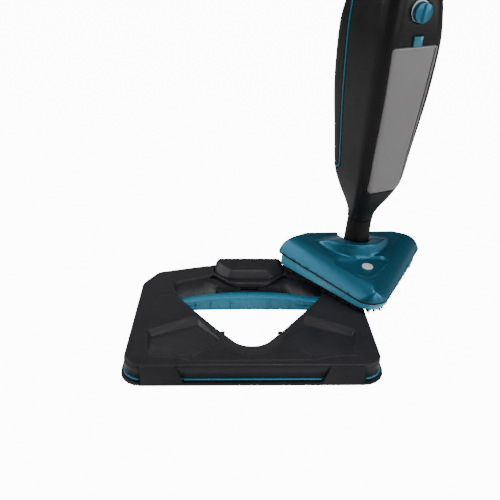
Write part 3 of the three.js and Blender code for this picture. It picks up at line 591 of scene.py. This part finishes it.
def lower_planes(points):
    """The planes a, b, c with z = a x + b y + c that bound a convex solid from below."""
    hull = bmesh.new()
    for p in points:
        hull.verts.new(p)
    bmesh.ops.convex_hull(hull, input=hull.verts)
    hull.normal_update()
    planes = []
    for face in hull.faces:
        n = face.normal
        if n.z < -0.02:
            planes.append((-n.x / n.z, -n.y / n.z, n.dot(face.verts[0].co) / n.z))
    hull.free()
    return planes


def soft_max(values, softness):
    """The largest of several heights, with its creases rounded."""
    stack = np.stack(values)
    top = stack.max(0)
    return top + softness * np.log(np.exp((stack - top) / softness).sum(0))


def pocket_height(points):
    """The sunken panel on each side of the deck's hole; far above the deck outside it."""
    planes = lower_planes([(x, y, DECK_TOP + 0.4) for x, y in POCKET_RIM] + POCKET_FLOOR)
    x, y = -np.abs(points[:, 0]), points[:, 1]
    return soft_max([a * x + b * y + c for a, b, c in planes], 0.25)


def deck_height(points):
    x, y = points[:, 0], points[:, 1]
    z = np.full(len(points), float(DECK_TOP))
    front = np.interp(np.abs(x), (0, 106, 130, 177, 230), (17.5, 19.5, 29, 31.6, 31.6))
    z -= 0.10 * np.clip(front - y, 0, 30)
    bevel = -depth_in(points, hole_ring(0))
    reach = depth_in(points, rounded(BEVEL_SIDES, BEVEL_RADII))
    share = np.where(reach > 0, bevel / np.maximum(bevel + reach, 1e-6), 1)
    drop = np.interp(y, (60, 120), (3.2, 9))
    slope = DECK_TOP - drop * (1 - np.clip(share, 0, 1)) + np.where(reach > 0, 0, 40)
    z = -soft_max([-z, -slope, -pocket_height(points)], 0.3)
    step = -depth_in(points, pedal_ring(0))
    z = soft_max([z, np.interp(step, (1, 8, 10, 13, 17), (41.2, 41.2, 40.4, 37, 30))], 0.35)
    line = np.array(FRONT_LINE)
    z -= groove(distance_to(points, line, False), 2.6, 0.9)
    z -= groove(distance_to(np.column_stack((-np.abs(x), y)), np.array(REAR_LINE), False), 2.4, 0.8)
    z -= fillet(depth_in(points, frame_ring(SKIRT)), 5)
    z -= fillet(bevel, 1.2)
    return z


def front_notched(ring):
    """Makes room at the front edge for the two blocks of the base ring."""
    beside = (np.abs(ring[:, 0]) > 116.5) & (np.abs(ring[:, 0]) < 191.5) & (ring[:, 1] < 6.8)
    ring = ring.copy()
    ring[beside, 1] = 6.8
    return ring


def deck():
    outer = front_notched(finely(frame_ring(SKIRT), 2.0))
    holes = [finely(hole_ring(0), 2.0), finely(pedal_ring(-1.2), 2.0)]
    lines = [(finely(hole_ring(-1.4), 2.0), True)]
    for shift in (-1.3, -0.5, 0.5, 1.3):
        lines.append((np.array(FRONT_LINE) + (0, shift), False))
    flat, faces = relief(outer, holes, lines, 2.4)
    points = np.column_stack((flat, deck_height(flat)))
    hole = hole_ring(0)

    def walls(ring):
        middle = ring[:, :2].mean(0)
        if abs(middle[0]) < 5 and ring[:, 1].min() > 200:  # the pedal's opening
            return [with_height(ring, 40), with_height(ring, 30)]
        if distance_to(ring[:1, :2], hole)[0] < 0.1:
            return [with_height(ring, np.where(ring[:, 1] > WALL_FROM_Y, 34, low)) for low in (25, 12)]
        return [with_height(ring, 30), with_height(ring, 11.4)]

    points, faces = skirted(points, faces, walls)
    make_piece("deck", points, faces, "floor_frame", "frame_black", ["frame_top_shell"], DECK, 2.5)


def pedal():
    """The foot pedal: a broad face that leans back and turns softly into its top."""
    flat, faces = relief(finely(pedal_ring(0), 2.0), [], [(finely(pedal_ring(1.2), 2.0), True)], 2.2)
    wide = rounded(inset(PEDAL_SIDES, [0, 0, -9, -60, -9, 0]), 20)
    face = PEDAL_FOOT + 0.9 * depth_in(flat, wide)
    sides = PEDAL_FOOT + 4 * depth_in(flat, rounded(inset(PEDAL_SIDES, [0, 0, 0, -60, 0, 0]), 20))
    top = PEDAL_CREASE + (PEDAL_TOP - PEDAL_CREASE) * (flat[:, 1] - 274) / 36
    z = soft_min([face, sides, top], 0.9) - fillet(depth_in(flat, pedal_ring(0)), 1.6)

    def walls(ring):
        return [with_height(ring, 34)]

    points, faces = skirted(np.column_stack((flat, z)), faces, walls)
    make_piece("pedal_plate", points, faces, "pedal", "frame_black", ["release_pedal"], DECK, 2.2)


LIP_HALF_WIDTH = 135
LIP_SECTION = [(246.3, 22.4), (232, 22.5), (229.4, 22.3), (228.2, 21.6), (227.8, 20.4)]
LIP_FOOT = (218.4, 0.6)
LIP_RIBS = (-100, -72, -35, 35, 72, 100)


def lip():
    """The teal lip at the back of the opening, which a docked head rests against."""
    xs = np.arange(-LIP_HALF_WIDTH, LIP_HALF_WIDTH + 1, 3.0)
    points, faces = [], []
    count = len(LIP_SECTION) + 1
    for x in xs:
        curve = -16 * min(abs(x) / 117, 1) ** 2
        section = [(y + curve, z) for y, z in LIP_SECTION] + [(LIP_FOOT[0] + 0.15 * curve, LIP_FOOT[1])]
        points += [(x, y, z) for y, z in section]
    for i in range(len(xs) - 1):
        for k in range(count - 1):
            a = i * count + k
            faces.append((a, a + 1, a + count + 1, a + count))
    make_piece("dock_lip", points, faces, "floor_frame", "frame_teal", [], DECK, 0.8)
    ribs, sides = [], []
    for x in LIP_RIBS:
        add_rib(ribs, sides, x)
    make_piece("lip_ribs", ribs, sides, "floor_frame", "frame_teal", [], DECK)


def add_rib(points, faces, x):
    """A thin upright rib on the lip's face."""
    curve = -16 * min(abs(x) / 117, 1) ** 2
    first = len(points)
    for side in (x - 0.7, x + 0.7):
        points += [(side, 228.5 + curve, 19.6), (side, 219 + 0.15 * curve, 1.4),
                   (side, 216.5 + 0.15 * curve, 1.4), (side, 225 + curve, 19.6)]
    faces += [(first + 3, first + 2, first + 1, first), (first + 4, first + 5, first + 6, first + 7)]
    for k in range(4):
        j = (k + 1) % 4
        faces.append((first + k, first + j, first + 4 + j, first + 4 + k))


def add_block(points, faces, low, high):
    """A box between two corners, a little narrower at its top."""
    first, slim = len(points), 0.4
    for z, cut in ((low[2], 0), (high[2] - slim, 0), (high[2], slim)):
        points += [(low[0] + cut, low[1] + cut, z), (high[0] - cut, low[1] + cut, z),
                   (high[0] - cut, high[1] - cut, z), (low[0] + cut, high[1] - cut, z)]
    for level in (0, 4):
        for k in range(4):
            j = (k + 1) % 4
            faces.append((first + level + k, first + level + j, first + level + 4 + j, first + level + 4 + k))
    faces += [(first + 3, first + 2, first + 1, first), (first + 8, first + 9, first + 10, first + 11)]


def dock_clips():
    """The two nubs in the opening that hold a docked head."""
    points, faces = [], []
    for side in (-1, 1):
        x = sorted((side * 47, side * 54.5))
        add_block(points, faces, (x[0], 108.5, 25), (x[1], 112, 30.5))
    make_piece("dock_clips", points, faces, "floor_frame", "frame_black", [], DECK)


def wall_seams():
    """The joints between the middle and the ends of the rear wall."""
    points, faces = [], []
    for side in (-1, 1):
        add_block(points, faces, (side * 63 - 0.7, 240.5, 20.5), (side * 63 + 0.7, 251, 33))
    make_piece("wall_seams", points, faces, "floor_frame", "inner_black", [], DECK)


def with_height(ring, z):
    moved = np.array(ring, float)
    moved[:, 2] = np.minimum(moved[:, 2] - 0.5, z)
    return moved


# ---------------------------------------------------------------------------
# Mop head, in its own frame: y is 0 at the wings, -Y the tip, z 0 at the cover's rim
# ---------------------------------------------------------------------------
HEAD_OUTLINE = [(0, -198), (147, 5), (88, 29), (-88, 29), (-147, 5)]
HEAD_RADII = np.array((38, 11, 20, 20, 11))
TIP_Y, BACK_Y = -167, 29
RIM_TIP, RIM_BACK = -10, 2
HEM = 3
PIVOT_Y = -24
NECK_ROOM = 26.2
COVER_WALL = 2.5
DISH_SIDES = [(-6, -141), (70, -62), (-74, -62)]
BADGE = (6, -90)
BADGE_FLOOR = 15.6
BADGE_ROOM = 10.8


def head_ring(side, rear=None, step=2.0):
    rear = side if rear is None else rear
    moved = inset(HEAD_OUTLINE, [side, rear, rear, rear, side])
    return rounded(moved, np.maximum(HEAD_RADII - side * 0.5, 6), step)


def soft_min(values, softness):
    return -soft_max([-value for value in values], softness)


def hood_edge(x):
    """Where the raised hood round the neck ends towards the tip."""
    return -62.5 + 62.5 * (np.abs(x) / 79) ** 2.1


def cover_height(points):
    x, y = points[:, 0], points[:, 1]
    share = np.clip((y - TIP_Y) / (BACK_Y - TIP_Y), 0, 1)
    rim = RIM_TIP + (RIM_BACK - RIM_TIP) * share
    crown = 23 + 6 * share
    sides = np.array(HEAD_OUTLINE, float)
    left = unit(np.array((-(sides[0] - sides[4])[1], (sides[0] - sides[4])[0])))
    right = unit(np.array((-(sides[1] - sides[0])[1], (sides[1] - sides[0])[0])))
    by_left = (points - sides[4]) @ left
    by_right = (points - sides[0]) @ right
    edge = depth_in(points, head_ring(0))
    depth = soft_min([by_left, by_right, 2.6 * edge, 2.6 * (BACK_Y - y)], 2.2)
    slope = 1 - (1 - np.clip(depth / 38, 0, 1)) ** 2.2
    z = rim + crown * slope
    inside = depth_in(points, rounded(DISH_SIDES, [26, 14, 14]))
    width = np.where(x > -6, 6.5, 13)
    z -= 4.2 * smooth(-1, 1, (inside - width / 2) / (width / 2))
    across = (y - hood_edge(x)) / np.hypot(1, 1.66 * np.abs(x) / 79)
    hood = 45.5 - 12 * (x / 79) ** 2 - 0.40 * np.clip(y + 30, 0, 60) - 0.05 * np.clip(across, 0, 20)
    rise = smooth(-4.2, 2.2, across) * smooth(0, 12, depth)
    z += rise * np.maximum(hood - z, 0)
    z -= (z - BADGE_FLOOR) * (np.hypot(x - BADGE[0], y - BADGE[1]) < BADGE_ROOM)
    return np.maximum(z, rim)


def circle(centre, radius, steps):
    angles = np.arange(steps) * 2 * math.pi / steps
    return np.column_stack((centre[0] + radius * np.cos(angles), centre[1] + radius * np.sin(angles)))


def neck_slot():
    """The round hole for the neck, open to the back so that the neck can lean there."""
    angles = np.linspace(math.pi, 2 * math.pi, 29)
    arc = np.column_stack((NECK_ROOM * np.cos(angles), PIVOT_Y + NECK_ROOM * np.sin(angles)))
    return np.vstack((arc, [(NECK_ROOM, BACK_Y + 9), (-NECK_ROOM, BACK_Y + 9)]))


def cut_by_slot(ring):
    """The head's outline with the neck's slot let in from the back."""
    slot = neck_slot()[:-2]
    ring = finely(ring, 2.0)
    behind = (np.abs(ring[:, 0]) < NECK_ROOM) & (ring[:, 1] > 0)
    first = next(i for i in range(len(ring)) if behind[i] and not behind[i - 1])
    ring = np.roll(ring, -first, axis=0)
    kept = ring[~np.roll(behind, -first)]
    back = kept[0][1]
    inner = finely(np.vstack(([(NECK_ROOM, back)], slot[::-1], [(-NECK_ROOM, back)])), 2.0)
    straight = inner[:-1] if np.linalg.norm(inner[-1] - inner[0]) < 2 else inner
    keep = straight[:, 1] <= back + 1e-6
    return np.vstack((straight[keep], kept))


def head_cover():
    outer = cut_by_slot(head_ring(0.0))
    holes = []
    xs = np.linspace(-76, 76, 77)
    lines = []
    for shift in (-4.2, -2.2, -0.6, 0.9, 2.2):
        lines.append((np.column_stack((xs, hood_edge(xs) + shift * np.hypot(1, 1.66 * np.abs(xs) / 79))), False))
    lines.append((circle(BADGE, BADGE_ROOM, 40), True))
    lines.append((circle(BADGE, BADGE_ROOM + 0.3, 40), True))
    lines = [(line[~is_inside(line, neck_slot())], closed) for line, closed in lines]
    flat, faces = relief(outer, holes, lines, 2.4)
    points = np.column_stack((flat, cover_height(flat)))

    def walls(ring):
        lower = np.array(ring)
        share = np.clip((ring[:, 1] - TIP_Y) / (BACK_Y - TIP_Y), 0, 1)
        rim = RIM_TIP + (RIM_BACK - RIM_TIP) * share - HEM
        lower[:, 2] = np.minimum(np.where(ring[:, 2] > rim + 12, ring[:, 2] - 8, rim), ring[:, 2] - 0.4)
        return [lower]

    points, faces = skirted(points, faces, walls)
    make_piece("cover", points, faces, "mop_head", "head_pearl_teal", ["head_cover"], HEAD, COVER_WALL)


def cover_hem_shade_band():
    """A dark ring in the joint between the cover and the side wall: painted shade that stands for the shadow under
    the cover's hem.
    """
    outer, inner = cut_by_slot(head_ring(-0.25)), cut_by_slot(head_ring(-0.25))
    share = np.clip((outer[:, 1] - TIP_Y) / (BACK_Y - TIP_Y), 0, 1)
    rim = RIM_TIP + (RIM_BACK - RIM_TIP) * share
    kept = np.abs(outer[:, 0]) + 60 * (outer[:, 1] < 0) > NECK_ROOM + 1
    rings = [np.column_stack((outer, rim + up)) for up in (0.2, -1.4, -HEM - 0.1)]
    points = np.vstack(rings)
    count = len(outer)
    faces = []
    for k in range(2):
        for i in range(count):
            j = (i + 1) % count
            if kept[i] and kept[j]:
                faces.append((k * count + i, k * count + j, (k + 1) * count + j, (k + 1) * count + i))
    make_piece("cover_hem_shade_band", points, faces, "mop_head", "sole_rubber", [], HEAD, 0.6)


def brush():
    """A strip under the side wall with tufts of bristles that splay outwards."""
    random = np.random.default_rng(7)
    root, top, low = finely(head_ring(11.5), 3.0), -28.2, -35.4
    out = finely(head_ring(4.0), 3.0)
    points, faces = [], []

    def add_ring_strip(inner, outer):
        first = len(points)
        count = len(inner)
        for ring, z in ((outer, top), (outer, top - 2.6), (inner, top - 2.6), (inner, top)):
            points.extend((x, y, z) for x, y in ring)
        for k in range(4):
            for i in range(count):
                j, a, b = (i + 1) % count, first + k * count, first + (k + 1) % 4 * count
                faces.append((a + i, a + j, b + j, b + i))

    base = finely(head_ring(8.2), 4.0)
    centre = base.mean(0)
    inner = np.array([p - unit(p - nearest(root, p)) * 0 + unit(nearest(root, p) - p) * 6 for p in base])
    add_ring_strip(inner, base)
    count = 330
    way = finely(head_ring(10.0), 1.0)
    for k in range(count):
        here = way[int(k / count * len(way))]
        ahead = way[(int(k / count * len(way)) + 2) % len(way)]
        along = unit(ahead - here)
        outwards = np.array((along[1], -along[0]))
        for _ in range(3):
            foot = here + along * random.uniform(-2, 2) + outwards * random.uniform(-1.5, 0.5)
            clump = 1.15 + 0.45 * math.sin(k * 0.9) * math.sin(k * 0.37)
            side = 1.25 - 0.45 * smooth(-0.2, 0.7, outwards[0]) * smooth(-165, -150, here[1])
            reach = random.uniform(3.0, 7.5) * clump * side
            tip_z = low + random.uniform(-0.6, 2.6)
            tip = foot + outwards * reach + along * random.uniform(-2.6, 2.6)
            add_bristle(points, faces, (*foot, top - 1.5), (*tip, tip_z), random.uniform(0.9, 1.7))
    make_piece("bristle_skirt", points, faces, "mop_head", "brush_black", ["brush_ring"], HEAD)


def nearest(ring, p):
    return ring[np.argmin(np.linalg.norm(ring - p, axis=1))]


def add_bristle(points, faces, foot, tip, width, sides=5):
    """A tapered bundle of bristles from foot to tip."""
    foot, tip = Vector(foot), Vector(tip)
    way = (tip - foot).normalized()
    across = way.orthogonal().normalized()
    beside = way.cross(across)
    first = len(points)
    for centre, radius in ((foot, width * 0.6), (foot.lerp(tip, 0.55), width * 0.55)):
        for k in range(sides):
            angle = 2 * math.pi * k / sides
            points.append(tuple(centre + (across * math.cos(angle) + beside * math.sin(angle)) * radius))
    points.append(tuple(tip))
    last = len(points) - 1
    faces.append(tuple(range(first + sides - 1, first - 1, -1)))
    for k in range(sides):
        j = (k + 1) % sides
        faces.append((first + k, first + j, first + sides + j, first + sides + k))
        faces.append((first + sides + k, first + sides + j, last))


# ---------------------------------------------------------------------------
# Body, in its own frame: z is 0 at the joint above the neck and -Y the tank's side.
# A place on its skin is [s, h]: the distance round it from the middle of its front, and the height.
# ---------------------------------------------------------------------------
BODY_STATIONS = np.array([  # height, half width, half depth, corner radius, shift to the front
    (0, 23, 23, 22, 0), (12, 23.6, 24.5, 22, 0), (30, 28, 31, 22, 0), (58, 38, 44, 23, 0),
    (92, 46, 56, 23, 0), (150, 51.5, 62, 24, -2), (277, 61, 74, 25, -5), (350, 63, 76, 26, -5),
    (410, 59, 70, 28, -4), (455, 50, 57, 29, -2), (490, 36, 40, 28, 0), (520, 25, 27, 22, 0)], float)
TANK_FACE = [(-35, 77), (35, 77), (47, 352), (-47, 352)]
TANK_RADII = np.array((12, 12, 6, 6))
TANK_BACK_Y = -20
REAR_SPLIT = [(24, 96), (120, 96), (120, 466), (44, 466), (34, 330)]
REAR_RADII = (12, 4, 4, 20, 60)
BODY_WALL = 2.5
DIAL, POWER, LAMP = (0, 408), (0, 444), (0, 474)


def smooth_curve(xs, ys, at):
    """A smooth curve through the stations, which never swings past them."""
    steps = np.diff(xs)
    rises = np.diff(ys) / steps
    total = rises[:-1] + rises[1:]
    level = rises[:-1] * rises[1:] <= 0
    between = np.where(level, 0, 2 * rises[:-1] * rises[1:] / np.where(level, 1, total))
    slopes = np.concatenate(([rises[0]], between, [rises[-1]]))
    k = np.clip(np.searchsorted(xs, at) - 1, 0, len(steps) - 1)
    u = (at - xs[k]) / steps[k]
    value = (1 + 2 * u) * (1 - u) ** 2 * ys[k] + u * u * (3 - 2 * u) * ys[k + 1]
    return value + steps[k] * u * (1 - u) * ((1 - u) * slopes[k] - u * slopes[k + 1])


def section_at(h):
    """Half width, half depth, corner radius and forward shift of the body at each height."""
    w, d, r, shift = (smooth_curve(BODY_STATIONS[:, 0], BODY_STATIONS[:, k], h) for k in (1, 2, 3, 4))
    return w, d, np.minimum(r, np.minimum(w, d) - 0.01), shift


def half_round(h):
    """The distance from the middle of the front to the middle of the back."""
    w, d, r, _ = section_at(h)
    return 2 * (w - r) + math.pi * r + 2 * (d - r)


def s_at_x(x, h):
    """The place on the front half where the skin has that x."""
    w, _, r, _ = section_at(h)
    past = np.clip((np.abs(x) - (w - r)) / r, 0, 1)
    return np.sign(x) * (np.minimum(np.abs(x), w - r) + r * np.arcsin(past))


def s_at_y(y, h):
    """The place on the right side where the skin has that y."""
    w, d, r, shift = section_at(h)
    y = y + shift
    round_front = w - r + r * np.arccos(np.clip(-(y + d - r) / r, 0, 1))
    round_back = half_round(h) - (w - r) - r * np.arccos(np.clip((y - (d - r)) / r, 0, 1))
    flank = w - r + math.pi / 2 * r + y + d - r
    return np.where(y < -(d - r), round_front, np.where(y > d - r, round_back, flank))


def on_body(points):
    """Model points, in the body's frame, for rows of [s, h, how far out from the skin]."""
    s, h, out = points.T
    w, d, r, shift = section_at(h)
    side = np.sign(s)
    quarter = half_round(h) / 2
    behind = np.abs(s) > quarter
    u = np.where(behind, 2 * quarter - np.abs(s), np.abs(s))
    angle = np.clip((u - (w - r)) / r, 0, math.pi / 2)
    x = np.minimum(u, w - r) + (r + out) * np.sin(angle)
    y = -(d - r) - (r + out) * np.cos(angle) + np.clip(u - (w - r) - math.pi / 2 * r, 0, None)
    y = np.where(behind, -y, y) - shift
    return np.column_stack((side * x, y, h))


def on_front(ring):
    """Turns an outline in x and height into places on the skin."""
    return np.column_stack((s_at_x(ring[:, 0], ring[:, 1]), ring[:, 1]))


def tank_ring(distance):
    return on_front(finely(rounded(inset(TANK_FACE, distance), np.maximum(TANK_RADII - distance, 2)), 3.0))


def rear_line(grow):
    """The right side of the split round the rear panel, from its lower to its upper end at the back."""
    ring = finely(rounded(inset(REAR_SPLIT, -grow), REAR_RADII), 3.0)
    start = np.argmin(ring[:, 1] * 2 - ring[:, 0])
    ring = np.roll(ring, -start, axis=0)
    ring = ring[::-1]
    _, d, _, shift = section_at(ring[:, 1])
    inside = ring[:, 0] < d - shift - 0.5
    first = next(i for i in range(len(ring)) if inside[i] and not inside[i - 1])
    ring, inside = np.roll(ring, -first, axis=0), np.roll(inside, -first)
    ring = ring[inside]
    ring = ring if ring[0][1] < ring[-1][1] else ring[::-1]
    places = np.column_stack((s_at_y(ring[:, 0], ring[:, 1]), ring[:, 1]))
    low, high = places[0][1], places[-1][1]
    return np.vstack(([(half_round(low), low)], places, [(half_round(high), high)]))


def mirrored(line):
    return line[::-1] * (-1, 1)


def body_shell():
    """The skin round the tank and the rear panel, closed at the back above and below the panel."""
    split = rear_line(1.5)
    low = np.arange(0.4, split[0][1], 3.0)
    high = np.append(np.arange(split[-1][1] + 3, 519, 3.0), 519.6)
    right = np.vstack((np.column_stack((half_round(low), low)), split, np.column_stack((half_round(high), high))))
    outer = finely(np.vstack((right, mirrored(right))), 4.0)
    holes = [tank_ring(-0.5), circle(DIAL, 19, 48), circle(POWER, 11, 32), circle(LAMP, 3.9, 20),
             on_front(finely([(-9, 352.9), (9, 352.9), (9, 370), (-9, 370)], 3.0))]
    holes[0] = holes[0][holes[0][:, 1] < 400]
    holes[4][:, 1] = np.maximum(holes[4][:, 1], 353.6)
    lines = [(tank_ring(-1.8), True), (tank_ring(-3.2), True)]
    flat, faces = relief(outer, holes, lines, 4.0)
    out = -fillet(-depth_in(flat, holes[0]), 1.4)
    edge = distance_to(np.column_stack((np.abs(flat[:, 0]), flat[:, 1])), split[1:-1], False)
    out -= fillet(edge, 1.2)
    points = on_body(np.column_stack((flat, out)))
    make_piece("body_skin", points, faces, "body", "body_black", ["body_shell"], BODY, BODY_WALL)


def tank_recess():
    """The tray in the body that the tank slides into."""
    ring = tank_ring(-0.5)
    mouth = on_body(np.column_stack((ring, np.full(len(ring), -BODY_WALL))))
    floor = np.array(mouth)
    floor[:, 1] = TANK_BACK_Y + 1
    count = len(ring)
    faces = [(i, (i + 1) % count, count + (i + 1) % count, count + i) for i in range(count)]
    faces.append(tuple(range(count, 2 * count)))
    make_piece("tank_recess", np.vstack((mouth, floor)), faces, "body", "body_black", [], BODY)


def rear_panel():
    split = rear_line(-1.5)
    ring = np.vstack((split[1:-1], mirrored(split[1:-1])))
    around = np.column_stack((np.sign(ring[:, 0]) * half_round(ring[:, 1]) - ring[:, 0], ring[:, 1]))
    flat, faces = relief(finely(around, 4.0), [circle((0, 440), 5, 20)], [], 4.0)
    out = -fillet(depth_in(flat, around), 1.2)
    side = np.where(flat[:, 0] < 0, -1, 1)
    places = np.column_stack((side * half_round(flat[:, 1]) - flat[:, 0], flat[:, 1], out))
    make_piece("rear_cover", on_body(places), faces, "body", "body_black", ["rear_panel"], BODY, BODY_WALL)


def add_tube(points, faces, way, radius, sides=10, closed=True):
    """A round cord along a line of points."""
    first, count = len(points), len(way)
    for k in range(count):
        before = way[k - 1] if closed or k > 0 else way[k]
        after = way[(k + 1) % count] if closed or k < count - 1 else way[k]
        along = Vector(after - before).normalized()
        across = along.cross(Vector((0, 0.3, 1))).normalized()
        beside = along.cross(across)
        for j in range(sides):
            angle = 2 * math.pi * j / sides
            turned = across * math.cos(angle) + beside * math.sin(angle)
            points.append(tuple(Vector(way[k]) + turned * radius))
    for k in range(count if closed else count - 1):
        a, b = first + k * sides, first + (k + 1) % count * sides
        for j in range(sides):
            i = (j + 1) % sides
            faces.append((a + j, a + i, b + i, b + j))
    if not closed:
        faces.append(tuple(range(first + sides - 1, first - 1, -1)))
        faces.append(tuple(range(first + (count - 1) * sides, first + count * sides)))


def piping():
    """The teal cord that lies in the gap round the rear panel."""
    line = rear_line(0)[1:-1]
    ring = np.vstack((line, mirrored(line)))
    way = on_body(np.column_stack((ring, np.full(len(ring), -0.7))))
    points, faces = [], []
    add_tube(points, faces, way, 1.7)
    make_piece("piping_cord", points, faces, "body", "piping_teal", ["rear_piping"], BODY)


TANK_CREASE, TANK_GROOVE = -0.80, 0.86  # as shares of the tank's half width


def tank_share(flat):
    """Where a place on the tank lies between its middle, 0, and its edges, -1 and 1."""
    half = np.interp(flat[:, 1], (77, 352), (35, 47))
    return flat[:, 0] / s_at_x(half, flat[:, 1])


def tank_line(share, low=84, high=349):
    h = np.arange(low, high, 3.0)
    return np.column_stack((share * s_at_x(np.interp(h, (77, 352), (35, 47)), h), h))


def tank():
    """The smoky tank: a face between two facets, with a groove beside its right edge that holds a dark cord,
    painted shade for the gap's shadow.
    """
    outer = tank_ring(0.5)
    lines = [(tank_ring(1.3), True), (tank_ring(2.6), True)]
    lines += [(tank_line(TANK_GROOVE + shift), False) for shift in (-0.06, -0.03, 0.03, 0.06)]
    flat, faces = relief(outer, [], lines, 3.6)
    share = tank_share(flat)
    out = 0.9 - fillet(depth_in(flat, outer), 2.6)
    out -= 5.5 * np.clip(TANK_CREASE - share, 0, 1)
    out -= 1.6 * (1 - smooth(0.02, 0.06, np.abs(share - TANK_GROOVE))) * smooth(80, 86, flat[:, 1])
    points = on_body(np.column_stack((flat, out)))

    def walls(ring):
        back = np.array(ring)
        back[:, 1] = TANK_BACK_Y
        return [back]

    count = len(border_loops(faces)[0])
    points, faces = skirted(points, faces, walls)
    faces.append(tuple(range(len(points) - count, len(points))))
    make_piece("tank_body", points, faces, "tank", "tank_grey", ["water_tank"], BODY)


def tank_groove_shade():
    # A dark cord along the groove beside the tank's right edge: painted shade that stands for the shadow in the
    # gap.
    points, faces = [], []
    line = tank_line(TANK_GROOVE, 86, 348)
    way = on_body(np.column_stack((line, np.full(len(line), -0.5))))
    add_tube(points, faces, way, 0.9, 8, False)
    make_piece("tank_groove_shade", points, faces, "tank", "hose_rubber", [], BODY)


# ---------------------------------------------------------------------------
# CAD nodes that keep their shape
# ---------------------------------------------------------------------------
def soften(node, width, angle=28):
    """Rounds a CAD node's edges with modifiers; its own mesh stays as it is."""
    piece = NODES[node]
    weld = piece.modifiers.new("weld", "WELD")
    weld.merge_threshold = 0.00001
    bevel = piece.modifiers.new("edges", "BEVEL")
    bevel.width = width
    bevel.segments = 2
    bevel.limit_method = "ANGLE"
    bevel.angle_limit = math.radians(angle)
    bevel.harden_normals = True
    for face in piece.data.polygons:
        face.use_smooth = True


def dress_cad_nodes(paints):
    slots = {entry["node"]: entry["material_slot"] for entry in frame["record"]["subparts"]}
    for name, piece in NODES.items():
        piece.data.materials.clear()
        piece.data.materials.append(paints[slots[name]])
        soften(name, 0.0006)


make_camera()
make_floor()
make_world()
make_lights()
PAINTS = make_paints()
dress_cad_nodes(PAINTS)
deck()
pedal()
lip()
dock_clips()
wall_seams()
head_cover()
cover_hem_shade_band()
brush()
body_shell()
tank_recess()
rear_panel()
piping()
tank()
tank_groove_shade()
